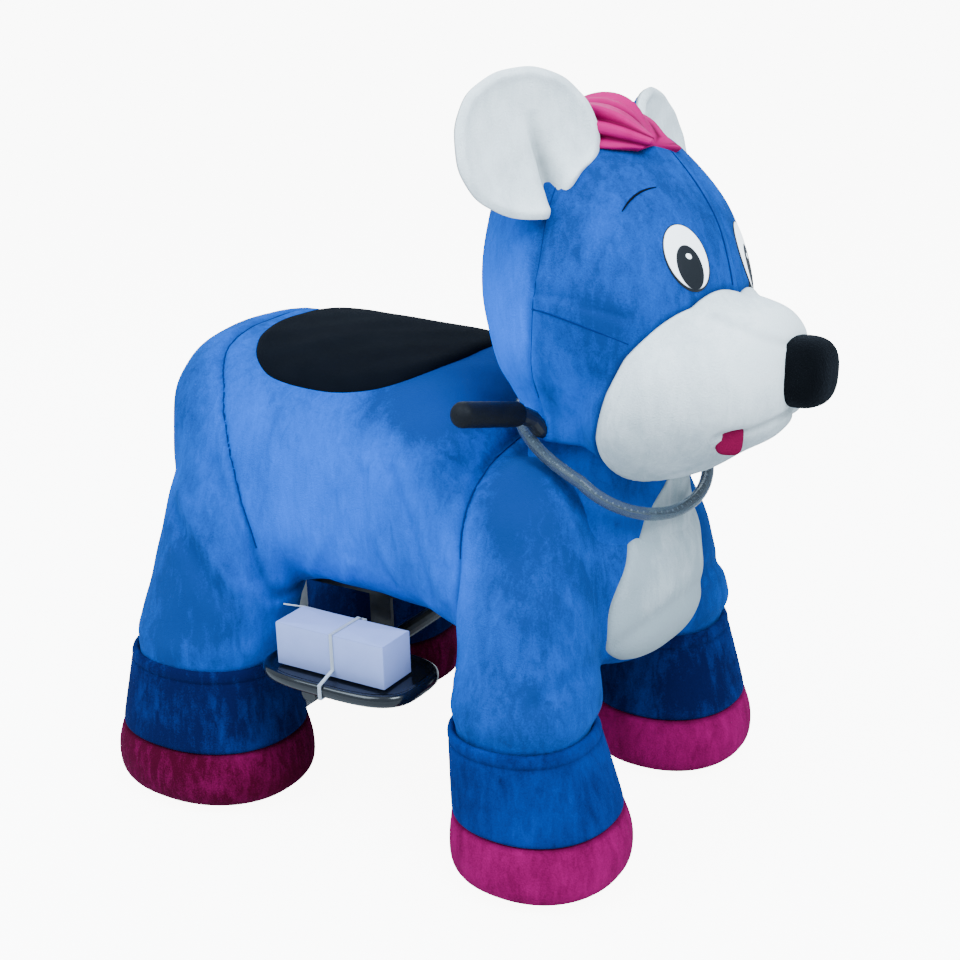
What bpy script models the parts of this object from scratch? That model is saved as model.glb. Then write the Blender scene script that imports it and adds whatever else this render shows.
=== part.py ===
"""Ride-on plush animal for one child: a steerable, battery-driven steel frame inside a padded body."""

import math

import bmesh
import bpy
import numpy as np
from mathutils import Matrix, Vector

# Stance: +X is forward, +Y the animal's left, +Z up, floor at zero.
WHEELBASE = 0.524
FRONT_TRACK = 0.374
REAR_TRACK = 0.392
# Halfway between the rear boots' back and the nose's tip, measured from the middle of the wheelbase
CENTRE_X = 0.0740

# Fits between pieces
SEAT_GAP = 0.0003
RUNNING_GAP = 0.0004
CLOTH_GAP = 0.0008
TURN_GAP = 0.003
# A twelve-sided bore's flats lie at this share of its corners' radius, so a stem that turns in it clears them
FLAT_SHARE = math.cos(math.pi / 12)

# Wheels
FRONT_WHEEL_RADIUS = 0.070
REAR_WHEEL_RADIUS = 0.075
WHEEL_WIDTH = 0.036
WHEEL_SIDES = 20
TYRE_DEPTH = 0.018
FRONT_AXLE_RADIUS = 0.005
REAR_AXLE_RADIUS = 0.008
BEARING_WALL = 0.008
BEARING_WIDTH = 0.014

# Frame tubes and their heights
FRAME_BOTTOM = 0.275
BEAM_SIZE = 0.040
RAIL_SIZE = 0.025
RAIL_SPREAD = 0.100
SPINE_BOTTOM = 0.430
SPINE_SIZE = 0.040
POST_SIZE = 0.024
POST_SPREAD = 0.150
BOARD_BOTTOM = 0.555
BOARD_THICKNESS = 0.015
BOARD_LENGTH = 0.300
BOARD_WIDTH = 0.200
BOARD_CENTRE_X = -0.060

# Steering
FORK_STEM_RADIUS = 0.0125
FORK_TUBE_WALL = 0.0075
FORK_TUBE_DROP = 0.025
FORK_TUBE_LENGTH = 0.100
FORK_BLADE = 0.005
FORK_BLADE_WIDTH = 0.030
FORK_SIDE_ROOM = 0.004
FORK_TOP_ROOM = 0.010
STEER_ARM = 0.060
ARM_THICKNESS = 0.008
ARM_PIN_RADIUS = 0.005
ROD_THICKNESS = 0.010
ROD_EYE_RADIUS = 0.012
COLUMN_RADIUS = 0.0125
HEAD_TUBE_RADIUS = 0.022
HEAD_TUBE_LIFT = 0.016
HEAD_TUBE_LENGTH = 0.090
COLUMN_TOP = 0.700

# Handlebar, measured on the right side of the animal
BAR_RADIUS = 0.011
GRIP_RADIUS = 0.0155
BAR_BACK = 0.030
BAR_LIFT = 0.020
BAR_ELBOW_Y = 0.104
BAR_RISE = 0.034
GRIP_START_Y = 0.142
GRIP_END_Y = 0.264
GRIP_SWEEP = 0.024
GRIP_LIFT = 0.028
POD_SIZE = (0.034, 0.026, 0.032)
BUTTON_RADIUS = 0.007
BUTTON_TRAVEL = 0.0025
BUTTON_PROUD = 0.004

# Battery, its shelf and the motor
SHELF_LENGTH = 0.300
SHELF_WIDTH = 0.216
SHELF_THICKNESS = 0.004
BATTERY_SIZE = (0.180, 0.160, 0.095)
CONTROLLER_SIZE = (0.060, 0.100, 0.035)
GEARBOX_SIZE = (0.090, 0.084, 0.076)
MOTOR_RADIUS = 0.030
MOTOR_LENGTH = 0.090

# Footrests
FOOTREST_TOP = 0.239
FOOTREST_THICKNESS = 0.017
FOOTREST_LENGTH = 0.232
FOOTREST_WIDTH = 0.139
FOOTREST_INNER_Y = 0.150
FOOTREST_X = 0.000
FOOT_BAR_RADIUS = 0.011
FOOT_BAR_X = -0.032

# Carton strapped to the right footrest
CARTON_SIZE = (0.168, 0.060, 0.058)
CARTON_X = -0.001
CARTON_INNER_Y = 0.200
CARTON_WALL = 0.0012
TIE_WIDTH = 0.0048
TIE_THICKNESS = 0.0013
TIE_X = 0.004
TIE_TAIL = 0.118

# Plush body: station along X, half width, top, bottom
TORSO = (
    (-0.348, 0.080, 0.505, 0.420),
    (-0.344, 0.125, 0.572, 0.370),
    (-0.322, 0.165, 0.609, 0.335),
    (-0.274, 0.192, 0.623, 0.315),
    (-0.190, 0.206, 0.621, 0.305),
    (-0.080, 0.210, 0.616, 0.302),
    (0.020, 0.210, 0.611, 0.298),
    (0.085, 0.210, 0.598, 0.285),
    (0.122, 0.209, 0.577, 0.272),
    (0.152, 0.207, 0.542, 0.262),
    (0.182, 0.205, 0.518, 0.256),
    (0.220, 0.202, 0.498, 0.250),
    (0.256, 0.192, 0.484, 0.248),
    (0.296, 0.172, 0.466, 0.246),
    (0.330, 0.138, 0.446, 0.250),
    (0.352, 0.100, 0.424, 0.266),
    (0.366, 0.062, 0.398, 0.296),
)
TORSO_POWER = 2.7
CAVITY_HALF_WIDTH = 0.135
BOARD_ROOM = 0.010

# Legs: height, centre x offset from the wheel, centre y, half length, half width
FRONT_LEG = (
    (0.2023, -0.020, 0.192, 0.088, 0.090),
    (0.245, -0.018, 0.190, 0.094, 0.091),
    (0.300, -0.020, 0.181, 0.098, 0.090),
    (0.360, -0.026, 0.163, 0.092, 0.082),
    (0.420, -0.032, 0.146, 0.084, 0.072),
    (0.470, -0.038, 0.134, 0.070, 0.060),
    (0.505, -0.040, 0.125, 0.050, 0.042),
    (0.520, -0.040, 0.120, 0.028, 0.024),
)
REAR_LEG = (
    (0.2023, 0.008, 0.192, 0.118, 0.098),
    (0.250, 0.018, 0.187, 0.114, 0.094),
    (0.310, 0.030, 0.178, 0.109, 0.088),
    (0.380, 0.040, 0.166, 0.102, 0.080),
    (0.450, 0.046, 0.150, 0.096, 0.072),
    (0.510, 0.050, 0.137, 0.084, 0.060),
    (0.550, 0.052, 0.128, 0.062, 0.042),
    (0.568, 0.052, 0.124, 0.034, 0.024),
)
# Boots: height, share of the half length and half width, lean of the centre
BOOT = (
    (0.008, 0.88, 0.0),
    (0.014, 0.94, 0.0),
    (0.030, 1.00, 0.0),
    (0.060, 1.00, 0.0),
    (0.091, 0.96, 0.15),
    (0.150, 0.89, 0.60),
    (0.202, 0.845, 1.0),
)
BAND_TOP = 0.091
FRONT_BOOT_HALF = (0.109, 0.109)
REAR_BOOT_HALF = (0.143, 0.116)
FRONT_BOOT_LEAN = (-0.017, 0.005)
REAR_BOOT_LEAN = (0.006, -0.004)
BOOT_WALL = 0.019
BOOT_ROOF = 0.024

# Neck, from the shoulders to the head: height, half length, half width, forward tip in degrees
NECK = (
    (0.440, 0.108, 0.140, 26.0),
    (0.475, 0.100, 0.128, 16.0),
    (0.505, 0.098, 0.113, 7.0),
    (0.532, 0.097, 0.100, 0.0),
)
NECK_HOLLOW = 0.045

# Head: height, centre offset from the steering axis, half length, half width
HEAD = (
    (0.524, 0.006, 0.092, 0.095),
    (0.560, 0.006, 0.100, 0.103),
    (0.585, 0.008, 0.116, 0.119),
    (0.612, 0.010, 0.135, 0.138),
    (0.650, 0.010, 0.151, 0.155),
    (0.700, 0.008, 0.160, 0.166),
    (0.760, 0.000, 0.154, 0.163),
    (0.820, -0.008, 0.136, 0.145),
    (0.868, -0.016, 0.106, 0.113),
    (0.898, -0.020, 0.070, 0.076),
    (0.910, -0.020, 0.030, 0.032),
)
HEAD_LEAN = -9.0
HEAD_PIVOT_Z = 0.690
# Muzzle: forward of the steering axis, centre height, half width, half height
MUZZLE = (
    (0.020, 0.568, 0.090, 0.052),
    (0.045, 0.573, 0.124, 0.084),
    (0.090, 0.587, 0.141, 0.107),
    (0.140, 0.608, 0.136, 0.106),
    (0.185, 0.625, 0.117, 0.091),
    (0.220, 0.634, 0.089, 0.074),
    (0.243, 0.637, 0.054, 0.050),
    (0.250, 0.637, 0.022, 0.022),
)
NOSE_CENTRE = (0.258, 0.0, 0.642)
NOSE_HALF = (0.034, 0.043, 0.040)
# The print is set a little nearer to the nose on the left
EYE_YAW = {"right": 31.0, "left": 23.0}
# The eyes' middle, above the muzzle's highest line
EYE_RISE = 0.048
EYE_HALF = (0.009, 0.031, 0.045)
EAR_CENTRE = (-0.024, 0.172, 0.878)
EAR_HALF = (0.095, 0.085)
# The right ear faces further out than the left
EAR_YAW = {"right": 32.0, "left": 8.0}
EAR_THICKNESS = 0.028
EAR_CUP = 0.022
TONGUE_CENTRE = (0.200, -0.066, 0.560)
TONGUE_SIZE = (0.012, 0.032, 0.038)
TONGUE_FACE = (0.5, -0.75, -0.1)

# Tuft of satin hair: along the head, half width, half height
TUFT = (
    (-0.052, 0.024, 0.022),
    (-0.024, 0.044, 0.036),
    (0.014, 0.058, 0.038),
    (0.050, 0.056, 0.028),
    (0.080, 0.036, 0.012),
)
TUFT_ASIDE = -0.036
TUFT_PLEATS = 5
TUFT_RIPPLE = 0.12
TUFT_DROOP = 2.6

# Light tube: a soft collar round the neck
COLLAR_RADIUS = 0.008
# The loop's middle, ahead of the steering axis
COLLAR_AHEAD = 0.038
COLLAR_FRONT = 0.074
COLLAR_BACK = 0.1445
COLLAR_HALF_WIDTH = 0.144
COLLAR_HEIGHT = 0.569
COLLAR_DROP = 0.118

# Seat pad and chest bib
SEAT_CENTRE_X = -0.086
SEAT_HALF = (0.150, 0.167)
SEAT_PAD = 0.012
BIB_THICKNESS = 0.009
BIB_TOP_HALF = 0.075
BIB_HALF = 0.108

FRONT_X = WHEELBASE / 2
EYE_HEIGHT = max(height + half for _, height, _, half in MUZZLE) + EYE_RISE
REAR_X = -WHEELBASE / 2
FRONT_Y = FRONT_TRACK / 2
REAR_Y = REAR_TRACK / 2
BEAM_TOP = FRAME_BOTTOM + BEAM_SIZE
RAIL_BOTTOM = BEAM_TOP - RAIL_SIZE
FORK_TUBE_BOTTOM = FRAME_BOTTOM - FORK_TUBE_DROP
FORK_TUBE_TOP = FORK_TUBE_BOTTOM + FORK_TUBE_LENGTH
ARM_BOTTOM = FORK_TUBE_TOP + RUNNING_GAP
ARM_TOP = ARM_BOTTOM + ARM_THICKNESS
ROD_BOTTOM = ARM_TOP + RUNNING_GAP
ROD_TOP = ROD_BOTTOM + ROD_THICKNESS
HEAD_TUBE_BOTTOM = ROD_TOP + HEAD_TUBE_LIFT
HEAD_TUBE_TOP = HEAD_TUBE_BOTTOM + HEAD_TUBE_LENGTH
BOARD_TOP = BOARD_BOTTOM + BOARD_THICKNESS
BAR_HEIGHT = NECK[-1][0] + BAR_LIFT
BAR_BORE = BAR_RADIUS / math.cos(math.pi / 12) + 0.0001
SIDES = tuple((word, -1.0 if word == "right" else 1.0) for word in ("right", "left"))


def clear_scene():
    """Empty the scene before the model is made."""
    for item in list(bpy.data.objects):
        bpy.data.objects.remove(item, do_unlink=True)


def make_material(name, colour, roughness, metallic=0.0):
    """Make one plain material from its colour, roughness and metallic value."""
    material = bpy.data.materials.new(name)
    material.use_nodes = True
    shader = material.node_tree.nodes["Principled BSDF"]
    shader.inputs["Base Color"].default_value = (*colour, 1.0)
    shader.inputs["Roughness"].default_value = roughness
    shader.inputs["Metallic"].default_value = metallic
    material.diffuse_color = (*colour, 1.0)
    return material


def add_mesh(name, points, faces, material, smooth=True):
    """Make a mesh object from its points and faces, with every face turned outwards."""
    mesh = bpy.data.meshes.new(name)
    mesh.from_pydata([tuple(point) for point in points], [], faces)
    form = bmesh.new()
    form.from_mesh(mesh)
    bmesh.ops.remove_doubles(form, verts=form.verts, dist=0.00001)
    bmesh.ops.recalc_face_normals(form, faces=form.faces)
    twisted = [face for face in form.faces if len(face.verts) == 4 and is_twisted(face)]
    bmesh.ops.triangulate(form, faces=twisted)
    form.to_mesh(mesh)
    form.free()
    if smooth:
        mesh.shade_smooth()
        mesh.set_sharp_from_angle(angle=math.radians(38))
    item = bpy.data.objects.new(name, mesh)
    bpy.context.scene.collection.objects.link(item)
    if material is not None:
        mesh.materials.append(material)
    return item


def is_twisted(face):
    """Tell whether a four-sided face is too far from flat to be cut cleanly."""
    a, b, c, d = (vertex.co for vertex in face.verts)
    normal = (b - a).cross(c - a).normalized()
    return abs(normal.dot(d - a)) > 0.0000002


def as_cutter(item):
    """Mark an object as a cutter, which isn't a piece of the model."""
    item.hide_render = True
    item.display_type = "WIRE"
    return item


def combine(target, tool, operation="DIFFERENCE"):
    """Cut a tool from the target, or join it on, with an exact Boolean."""
    step = target.modifiers.new(f"{operation.lower()} {tool.name}", "BOOLEAN")
    step.object = as_cutter(tool)
    step.operation = operation
    step.solver = "EXACT"
    return target


def loft(name, rings, material):
    """Skin a list of closed rings and close both ends."""
    count = len(rings[0])
    points = [tuple(point) for ring in rings for point in ring]
    faces = []
    for level in range(len(rings) - 1):
        low = level * count
        for step in range(count):
            after = (step + 1) % count
            faces.append((low + step, low + after, low + count + after, low + count + step))
    for level in (0, len(rings) - 1):
        faces.append(tuple(level * count + step for step in range(count)))
    return add_mesh(name, points, faces, material)


def smooth_table(table, count):
    """Read a smooth Catmull-Rom curve through a table's rows at evenly spaced steps."""
    rows = np.array(table, dtype=float)
    padded = np.vstack([2 * rows[0] - rows[1], rows, 2 * rows[-1] - rows[-2]])
    result = []
    for value in np.linspace(0, len(rows) - 1, count):
        start = min(int(value), len(rows) - 2)
        t = value - start
        a, b, c, d = padded[start:start + 4]
        blend = (2 * b) + (c - a) * t + (2 * a - 5 * b + 4 * c - d) * t**2
        result.append(0.5 * (blend + (3 * b - a - 3 * c + d) * t**3))
    return np.array(result)


def superellipse(half_a, half_b, power, count):
    """Points of a rounded oval: a circle at power 2, squarer above it."""
    turn = np.linspace(0, 2 * math.pi, count, endpoint=False)
    a = half_a * np.sign(np.cos(turn)) * np.abs(np.cos(turn)) ** (2 / power)
    b = half_b * np.sign(np.sin(turn)) * np.abs(np.sin(turn)) ** (2 / power)
    return a, b


def box(name, low, high, material=None):
    """A plain block between two corners."""
    points = [(x, y, z) for x in (low[0], high[0]) for y in (low[1], high[1]) for z in (low[2], high[2])]
    faces = [(0, 1, 3, 2), (4, 6, 7, 5), (0, 4, 5, 1), (2, 3, 7, 6), (0, 2, 6, 4), (1, 5, 7, 3)]
    return add_mesh(name, points, faces, material, smooth=False)


def centred_box(name, centre, size, material=None):
    """A plain block from its centre and size."""
    low = [c - s / 2 for c, s in zip(centre, size)]
    high = [c + s / 2 for c, s in zip(centre, size)]
    return box(name, low, high, material)


def rod(name, start, end, radius, material=None, sides=12, power=2.0):
    """A round bar between two points."""
    return tube(name, [start, end], radius, material, sides, power)


def tube(name, route, radius, material=None, sides=12, power=2.0):
    """A round bar that follows a route, with its ends closed and square to it."""
    route = [Vector(point) for point in route]
    rings = []
    side = None
    for index, point in enumerate(route):
        before = route[max(index - 1, 0)]
        after = route[min(index + 1, len(route) - 1)]
        heading = (after - before).normalized()
        if side is None:
            side = heading.orthogonal().normalized()
        side = (side - heading * side.dot(heading)).normalized()
        other = heading.cross(side)
        a, b = superellipse(radius, radius, power, sides)
        rings.append([point + side * u + other * v for u, v in zip(a, b)])
    return loft(name, rings, material)


def turned(name, centre, profile, axis, material=None, sides=20):
    """Turn a closed profile of (along, radius) points about an axis through the centre."""
    axis = Vector(axis).normalized()
    side = axis.orthogonal().normalized()
    other = axis.cross(side)
    points = []
    for step in range(sides):
        angle = 2 * math.pi * step / sides
        out = side * math.cos(angle) + other * math.sin(angle)
        points += [Vector(centre) + axis * along + out * radius for along, radius in profile]
    size = len(profile)
    faces = []
    for step in range(sides):
        here, after = step * size, ((step + 1) % sides) * size
        for index in range(size):
            follow = (index + 1) % size
            if profile[index][1] == 0 and profile[follow][1] == 0:
                continue
            faces.append((here + index, after + index, after + follow, here + follow))
    return add_mesh(name, points, faces, material)


def ellipsoid(name, centre, half, material=None, sides=28, levels=14, power=2.0, turn=None):
    """A closed egg of the three half sizes, optionally turned about its centre."""
    rings = []
    for level in range(1, levels):
        angle = math.pi * level / levels
        height = -math.cos(angle)
        wide = math.sin(angle) ** (2 / power)
        height = math.copysign(abs(height) ** (2 / power), height)
        a, b = superellipse(half[0] * wide, half[1] * wide, power, sides)
        ring = [Vector((u, v, half[2] * height)) for u, v in zip(a, b)]
        rings.append(ring)
    points = [point for ring in rings for point in ring]
    faces = []
    for level in range(len(rings) - 1):
        low = level * sides
        for step in range(sides):
            after = (step + 1) % sides
            faces.append((low + step, low + after, low + sides + after, low + sides + step))
    for level, height in ((0, -half[2]), (len(rings) - 1, half[2])):
        points.append(Vector((0, 0, height)))
        for step in range(sides):
            faces.append((len(points) - 1, level * sides + step, level * sides + (step + 1) % sides))
    turn = turn or Matrix.Identity(3)
    points = [Vector(centre) + turn @ point for point in points]
    return add_mesh(name, points, faces, material)


def torso_form(name, grow=0.0, material=None, stations=18, sides=30):
    """The body's outer form, grown outwards by a given distance."""
    rings = []
    for x, half, top, bottom in smooth_table(TORSO, stations):
        a, b = superellipse(half + grow, (top - bottom) / 2 + grow, TORSO_POWER, sides)
        rings.append([(x, u, (top + bottom) / 2 + v) for u, v in zip(a, b)])
    for ring, shift in ((rings[0], -grow), (rings[-1], grow)):
        ring[:] = [(x + shift, y, z) for x, y, z in ring]
    return loft(name, rings, material)


def leg_form(name, table, wheel_x, side, material=None, stations=9, sides=20):
    """A leg's outer form, which swells and leans in towards the body."""
    rings = []
    for z, shift, centre_y, half_x, half_y in smooth_table(table, stations):
        a, b = superellipse(half_x, half_y, 2.2, sides)
        rings.append([(wheel_x + shift + u, side * centre_y + v, z) for u, v in zip(a, b)])
    return loft(name, rings, material)


def build_materials():
    """All finishes, by the name of what they cover."""
    return {
        "blue plush": make_material("blue plush", (0.035, 0.14, 0.52), 0.9),
        "dark plush": make_material("dark plush", (0.012, 0.075, 0.36), 0.9),
        "white plush": make_material("white plush", (0.74, 0.77, 0.76), 0.9),
        "pink plush": make_material("pink plush", (0.50, 0.012, 0.17), 0.85),
        "pink satin": make_material("pink satin", (0.72, 0.008, 0.24), 0.45),
        "black plush": make_material("black plush", (0.006, 0.006, 0.008), 0.95),
        "saddle cloth": make_material("saddle cloth", (0.008, 0.009, 0.011), 0.8),
        "gloss black": make_material("gloss black", (0.006, 0.007, 0.008), 0.18),
        "frame paint": make_material("frame paint", (0.010, 0.010, 0.011), 0.4, 0.2),
        "steel": make_material("steel", (0.45, 0.46, 0.47), 0.35, 1.0),
        "rubber": make_material("rubber", (0.012, 0.012, 0.013), 0.75),
        "hub plastic": make_material("hub plastic", (0.25, 0.26, 0.27), 0.45),
        "case plastic": make_material("case plastic", (0.02, 0.02, 0.022), 0.5),
        "alloy": make_material("alloy", (0.55, 0.56, 0.57), 0.45, 1.0),
        "plywood": make_material("plywood", (0.42, 0.28, 0.15), 0.7),
        "card": make_material("card", (0.80, 0.80, 0.84), 0.7),
        "nylon": make_material("nylon", (0.75, 0.76, 0.74), 0.45),
        "clear tube": make_material("clear tube", (0.42, 0.46, 0.48), 0.15),
        "eye print": make_material("eye print", (0.85, 0.86, 0.88), 0.3),
        "red button": make_material("red button", (0.55, 0.02, 0.02), 0.4),
    }


def build_frame(finish):
    """Spine, cross beams, lower rails and everything that is fixed to them."""
    paint = finish["frame paint"]
    half = BEAM_SIZE / 2

    front = box("front_yoke", (FRONT_X - half, -FRONT_Y, FRAME_BOTTOM), (FRONT_X + half, FRONT_Y, BEAM_TOP), paint)
    tube_radius = FORK_STEM_RADIUS + FORK_TUBE_WALL
    for word, side in SIDES:
        outer = rod(f"fork tube {word}", (FRONT_X, side * FRONT_Y, FORK_TUBE_BOTTOM),
                    (FRONT_X, side * FRONT_Y, FORK_TUBE_TOP), tube_radius)
        combine(front, outer, "UNION")
    plate_x = FRONT_X + HEAD_TUBE_RADIUS
    plate = box("front plate", (plate_x - 0.004, -0.024, FRAME_BOTTOM + 0.002),
                (plate_x + 0.006, 0.024, HEAD_TUBE_TOP - 0.004))
    combine(front, plate, "UNION")
    head_tube = rod("head tube", (FRONT_X, 0, HEAD_TUBE_BOTTOM), (FRONT_X, 0, HEAD_TUBE_TOP), HEAD_TUBE_RADIUS)
    combine(front, head_tube, "UNION")
    column_bore = rod("column bore", (FRONT_X, 0, HEAD_TUBE_BOTTOM - 0.01), (FRONT_X, 0, HEAD_TUBE_TOP + 0.01),
                      (COLUMN_RADIUS + RUNNING_GAP) / FLAT_SHARE)
    combine(front, column_bore)
    for word, side in SIDES:
        bore = rod(f"fork bore {word}", (FRONT_X, side * FRONT_Y, FORK_TUBE_BOTTOM - 0.01),
                   (FRONT_X, side * FRONT_Y, FORK_TUBE_TOP + 0.01), (FORK_STEM_RADIUS + RUNNING_GAP) / FLAT_SHARE)
        combine(front, bore)

    rear = box("rear_yoke", (REAR_X - half, -POST_SPREAD - POST_SIZE / 2, FRAME_BOTTOM),
               (REAR_X + half, POST_SPREAD + POST_SIZE / 2, BEAM_TOP), paint)
    upright = box("rear upright", (REAR_X - half + 0.004, -half, BEAM_TOP - 0.01),
                  (REAR_X + half - 0.004, half, SPINE_BOTTOM - SEAT_GAP))
    combine(rear, upright, "UNION")
    bearing_radius = REAR_AXLE_RADIUS + RUNNING_GAP + BEARING_WALL
    for word, side in SIDES:
        post = centred_box(f"rear post {word}",
                           (REAR_X, side * POST_SPREAD, (FRAME_BOTTOM + REAR_WHEEL_RADIUS) / 2),
                           (POST_SIZE + 0.004, POST_SIZE, FRAME_BOTTOM + 0.013 - REAR_WHEEL_RADIUS))
        combine(rear, post, "UNION")
        eye = centred_box(f"post eye {word}", (REAR_X, side * POST_SPREAD, REAR_WHEEL_RADIUS + 0.001),
                          (2 * bearing_radius + 0.014, 2 * BEARING_WIDTH, 2 * bearing_radius + 0.013))
        combine(rear, eye, "UNION")
    for word, side in SIDES:
        bore = rod(f"eye bore {word}", (REAR_X, side * POST_SPREAD - 0.03, REAR_WHEEL_RADIUS),
                   (REAR_X, side * POST_SPREAD + 0.03, REAR_WHEEL_RADIUS), bearing_radius + SEAT_GAP)
        combine(rear, bore)
        profile = [(-BEARING_WIDTH / 2, REAR_AXLE_RADIUS + RUNNING_GAP), (BEARING_WIDTH / 2, REAR_AXLE_RADIUS + RUNNING_GAP),
                   (BEARING_WIDTH / 2, bearing_radius), (-BEARING_WIDTH / 2, bearing_radius)]
        turned(f"axle_bearing_{word}", (REAR_X, side * POST_SPREAD, REAR_WHEEL_RADIUS), profile, (0, 1, 0),
               finish["steel"], 12)

    spine_end = FRONT_X - HEAD_TUBE_RADIUS - SEAT_GAP
    spine = box("spine_rail", (REAR_X - half, -SPINE_SIZE / 2, SPINE_BOTTOM),
                (spine_end, SPINE_SIZE / 2, SPINE_BOTTOM + SPINE_SIZE), paint)
    for word, x in (("rear", BOARD_CENTRE_X - BOARD_LENGTH * 0.36), ("front", BOARD_CENTRE_X + BOARD_LENGTH * 0.36)):
        pillar = centred_box(f"seat pillar {word}", (x, 0, (SPINE_BOTTOM + 0.01 + BOARD_BOTTOM - SEAT_GAP) / 2),
                             (0.030, 0.030, BOARD_BOTTOM - SEAT_GAP - SPINE_BOTTOM - 0.01))
        combine(spine, pillar, "UNION")

    board = centred_box("seat_board", (BOARD_CENTRE_X, 0, BOARD_BOTTOM + BOARD_THICKNESS / 2),
                        (BOARD_LENGTH, BOARD_WIDTH, BOARD_THICKNESS), finish["plywood"])
    bevel = board.modifiers.new("corners", "BEVEL")
    bevel.width = 0.004
    bevel.segments = 1

    foot_bar_z = FOOTREST_TOP - FOOTREST_THICKNESS - SEAT_GAP - FOOT_BAR_RADIUS
    for word, side in SIDES:
        rail = box(f"lower_rail_{word}",
                   (REAR_X + half + SEAT_GAP, side * RAIL_SPREAD - RAIL_SIZE / 2, RAIL_BOTTOM),
                   (FRONT_X - half - SEAT_GAP, side * RAIL_SPREAD + RAIL_SIZE / 2, BEAM_TOP), paint)
        hanger = centred_box(f"hanger {word}",
                             (FOOT_BAR_X, side * RAIL_SPREAD, (foot_bar_z + RAIL_BOTTOM + 0.01) / 2),
                             (0.034, 0.006, RAIL_BOTTOM + 0.01 - foot_bar_z + 0.02))
        combine(rail, hanger, "UNION")
        bore = rod(f"hanger bore {word}", (FOOT_BAR_X, side * RAIL_SPREAD - 0.02, foot_bar_z),
                   (FOOT_BAR_X, side * RAIL_SPREAD + 0.02, foot_bar_z), FOOT_BAR_RADIUS + SEAT_GAP)
        combine(rail, bore)
    bar_reach = FOOTREST_INNER_Y + FOOTREST_WIDTH * 0.85
    rod("footrest_bar", (FOOT_BAR_X, -bar_reach, foot_bar_z), (FOOT_BAR_X, bar_reach, foot_bar_z),
        FOOT_BAR_RADIUS, paint)


def footrest_outline(grow=0.0):
    """The footrest's rounded outline, as offsets from its centre."""
    a, b = superellipse(FOOTREST_LENGTH / 2 + grow, FOOTREST_WIDTH / 2 + grow, 3.4, 28)
    return list(zip(a, b))


def build_footrests(finish):
    """Two moulded foot plates with a rolled rim on one cross bar, and the carton strapped to one."""
    for word, side in SIDES:
        centre_y = side * (FOOTREST_INNER_Y + FOOTREST_WIDTH / 2)
        rings = []
        top = FOOTREST_TOP
        bottom = FOOTREST_TOP - FOOTREST_THICKNESS
        for shrink, z in ((0.005, bottom), (0.0, bottom + 0.004), (0.0, top - 0.004), (0.004, top)):
            rings.append([(FOOTREST_X + u, centre_y + v, z) for u, v in footrest_outline(-shrink)])
        loft(f"footrest_{word}", rings, finish["gloss black"])

    low_z = FOOTREST_TOP + SEAT_GAP
    outer_y = -(CARTON_INNER_Y + CARTON_SIZE[1])
    box("carton", (CARTON_X - CARTON_SIZE[0] / 2, outer_y, low_z),
        (CARTON_X + CARTON_SIZE[0] / 2, -CARTON_INNER_Y, low_z + CARTON_SIZE[2]), finish["card"])

    gap = SEAT_GAP
    plate_out = -(FOOTREST_INNER_Y + FOOTREST_WIDTH) - gap
    plate_in = -FOOTREST_INNER_Y + gap
    plate_low = FOOTREST_TOP - FOOTREST_THICKNESS - gap
    top_z = low_z + CARTON_SIZE[2] + gap
    inner = [(-CARTON_INNER_Y + gap, top_z), (outer_y - gap, top_z), (outer_y - gap, FOOTREST_TOP + 0.010),
             (plate_out, FOOTREST_TOP + gap), (plate_out, plate_low), (plate_in, plate_low),
             (plate_in, FOOTREST_TOP + gap)]
    centre = np.mean(np.array(inner), axis=0)
    outer = []
    for index, point in enumerate(inner):
        before = np.array(inner[index - 1])
        here = np.array(point)
        after = np.array(inner[(index + 1) % len(inner)])
        first = (here - before) / np.linalg.norm(here - before)
        second = (after - here) / np.linalg.norm(after - here)
        normal_a = np.array((first[1], -first[0]))
        normal_b = np.array((second[1], -second[0]))
        if np.dot(normal_a, here - centre) < 0:
            normal_a, normal_b = -normal_a, -normal_b
        corner = (normal_a + normal_b) / (1 + np.dot(normal_a, normal_b))
        outer.append(here + corner * TIE_THICKNESS)
    points = []
    for x in (TIE_X - TIE_WIDTH / 2, TIE_X + TIE_WIDTH / 2):
        points += [(x, y, z) for y, z in inner]
        points += [(x, y, z) for y, z in outer]
    size = len(inner)
    faces = []
    for index in range(size):
        after = (index + 1) % size
        low_in, low_out = index, size + index
        faces.append((low_in, after, 2 * size + after, 2 * size + index))
        faces.append((low_out, size + after, 3 * size + after, 3 * size + index))
        faces.append((low_in, after, size + after, low_out))
        faces.append((2 * size + index, 2 * size + after, 3 * size + after, 3 * size + index))
    band = add_mesh("carton_tie", points, faces, finish["nylon"], smooth=False)
    lock_z = top_z - 0.009
    band_y = inner[0][0] + (inner[-1][0] - inner[0][0]) * (top_z - lock_z) / (top_z - inner[-1][1])
    lock = centred_box("tie lock", (TIE_X, band_y, lock_z), (0.008, 0.008, 0.008))
    combine(band, lock, "UNION")
    tail = tube("tie tail",
                [(TIE_X - 0.001, band_y, lock_z), (TIE_X - 0.040, band_y + 0.001, lock_z + 0.001),
                 (TIE_X - 0.092, band_y - 0.001, lock_z + 0.003), (TIE_X - TIE_TAIL, band_y - 0.014, lock_z + 0.007)],
                0.0012, None, 6)
    combine(band, tail, "UNION")


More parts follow.
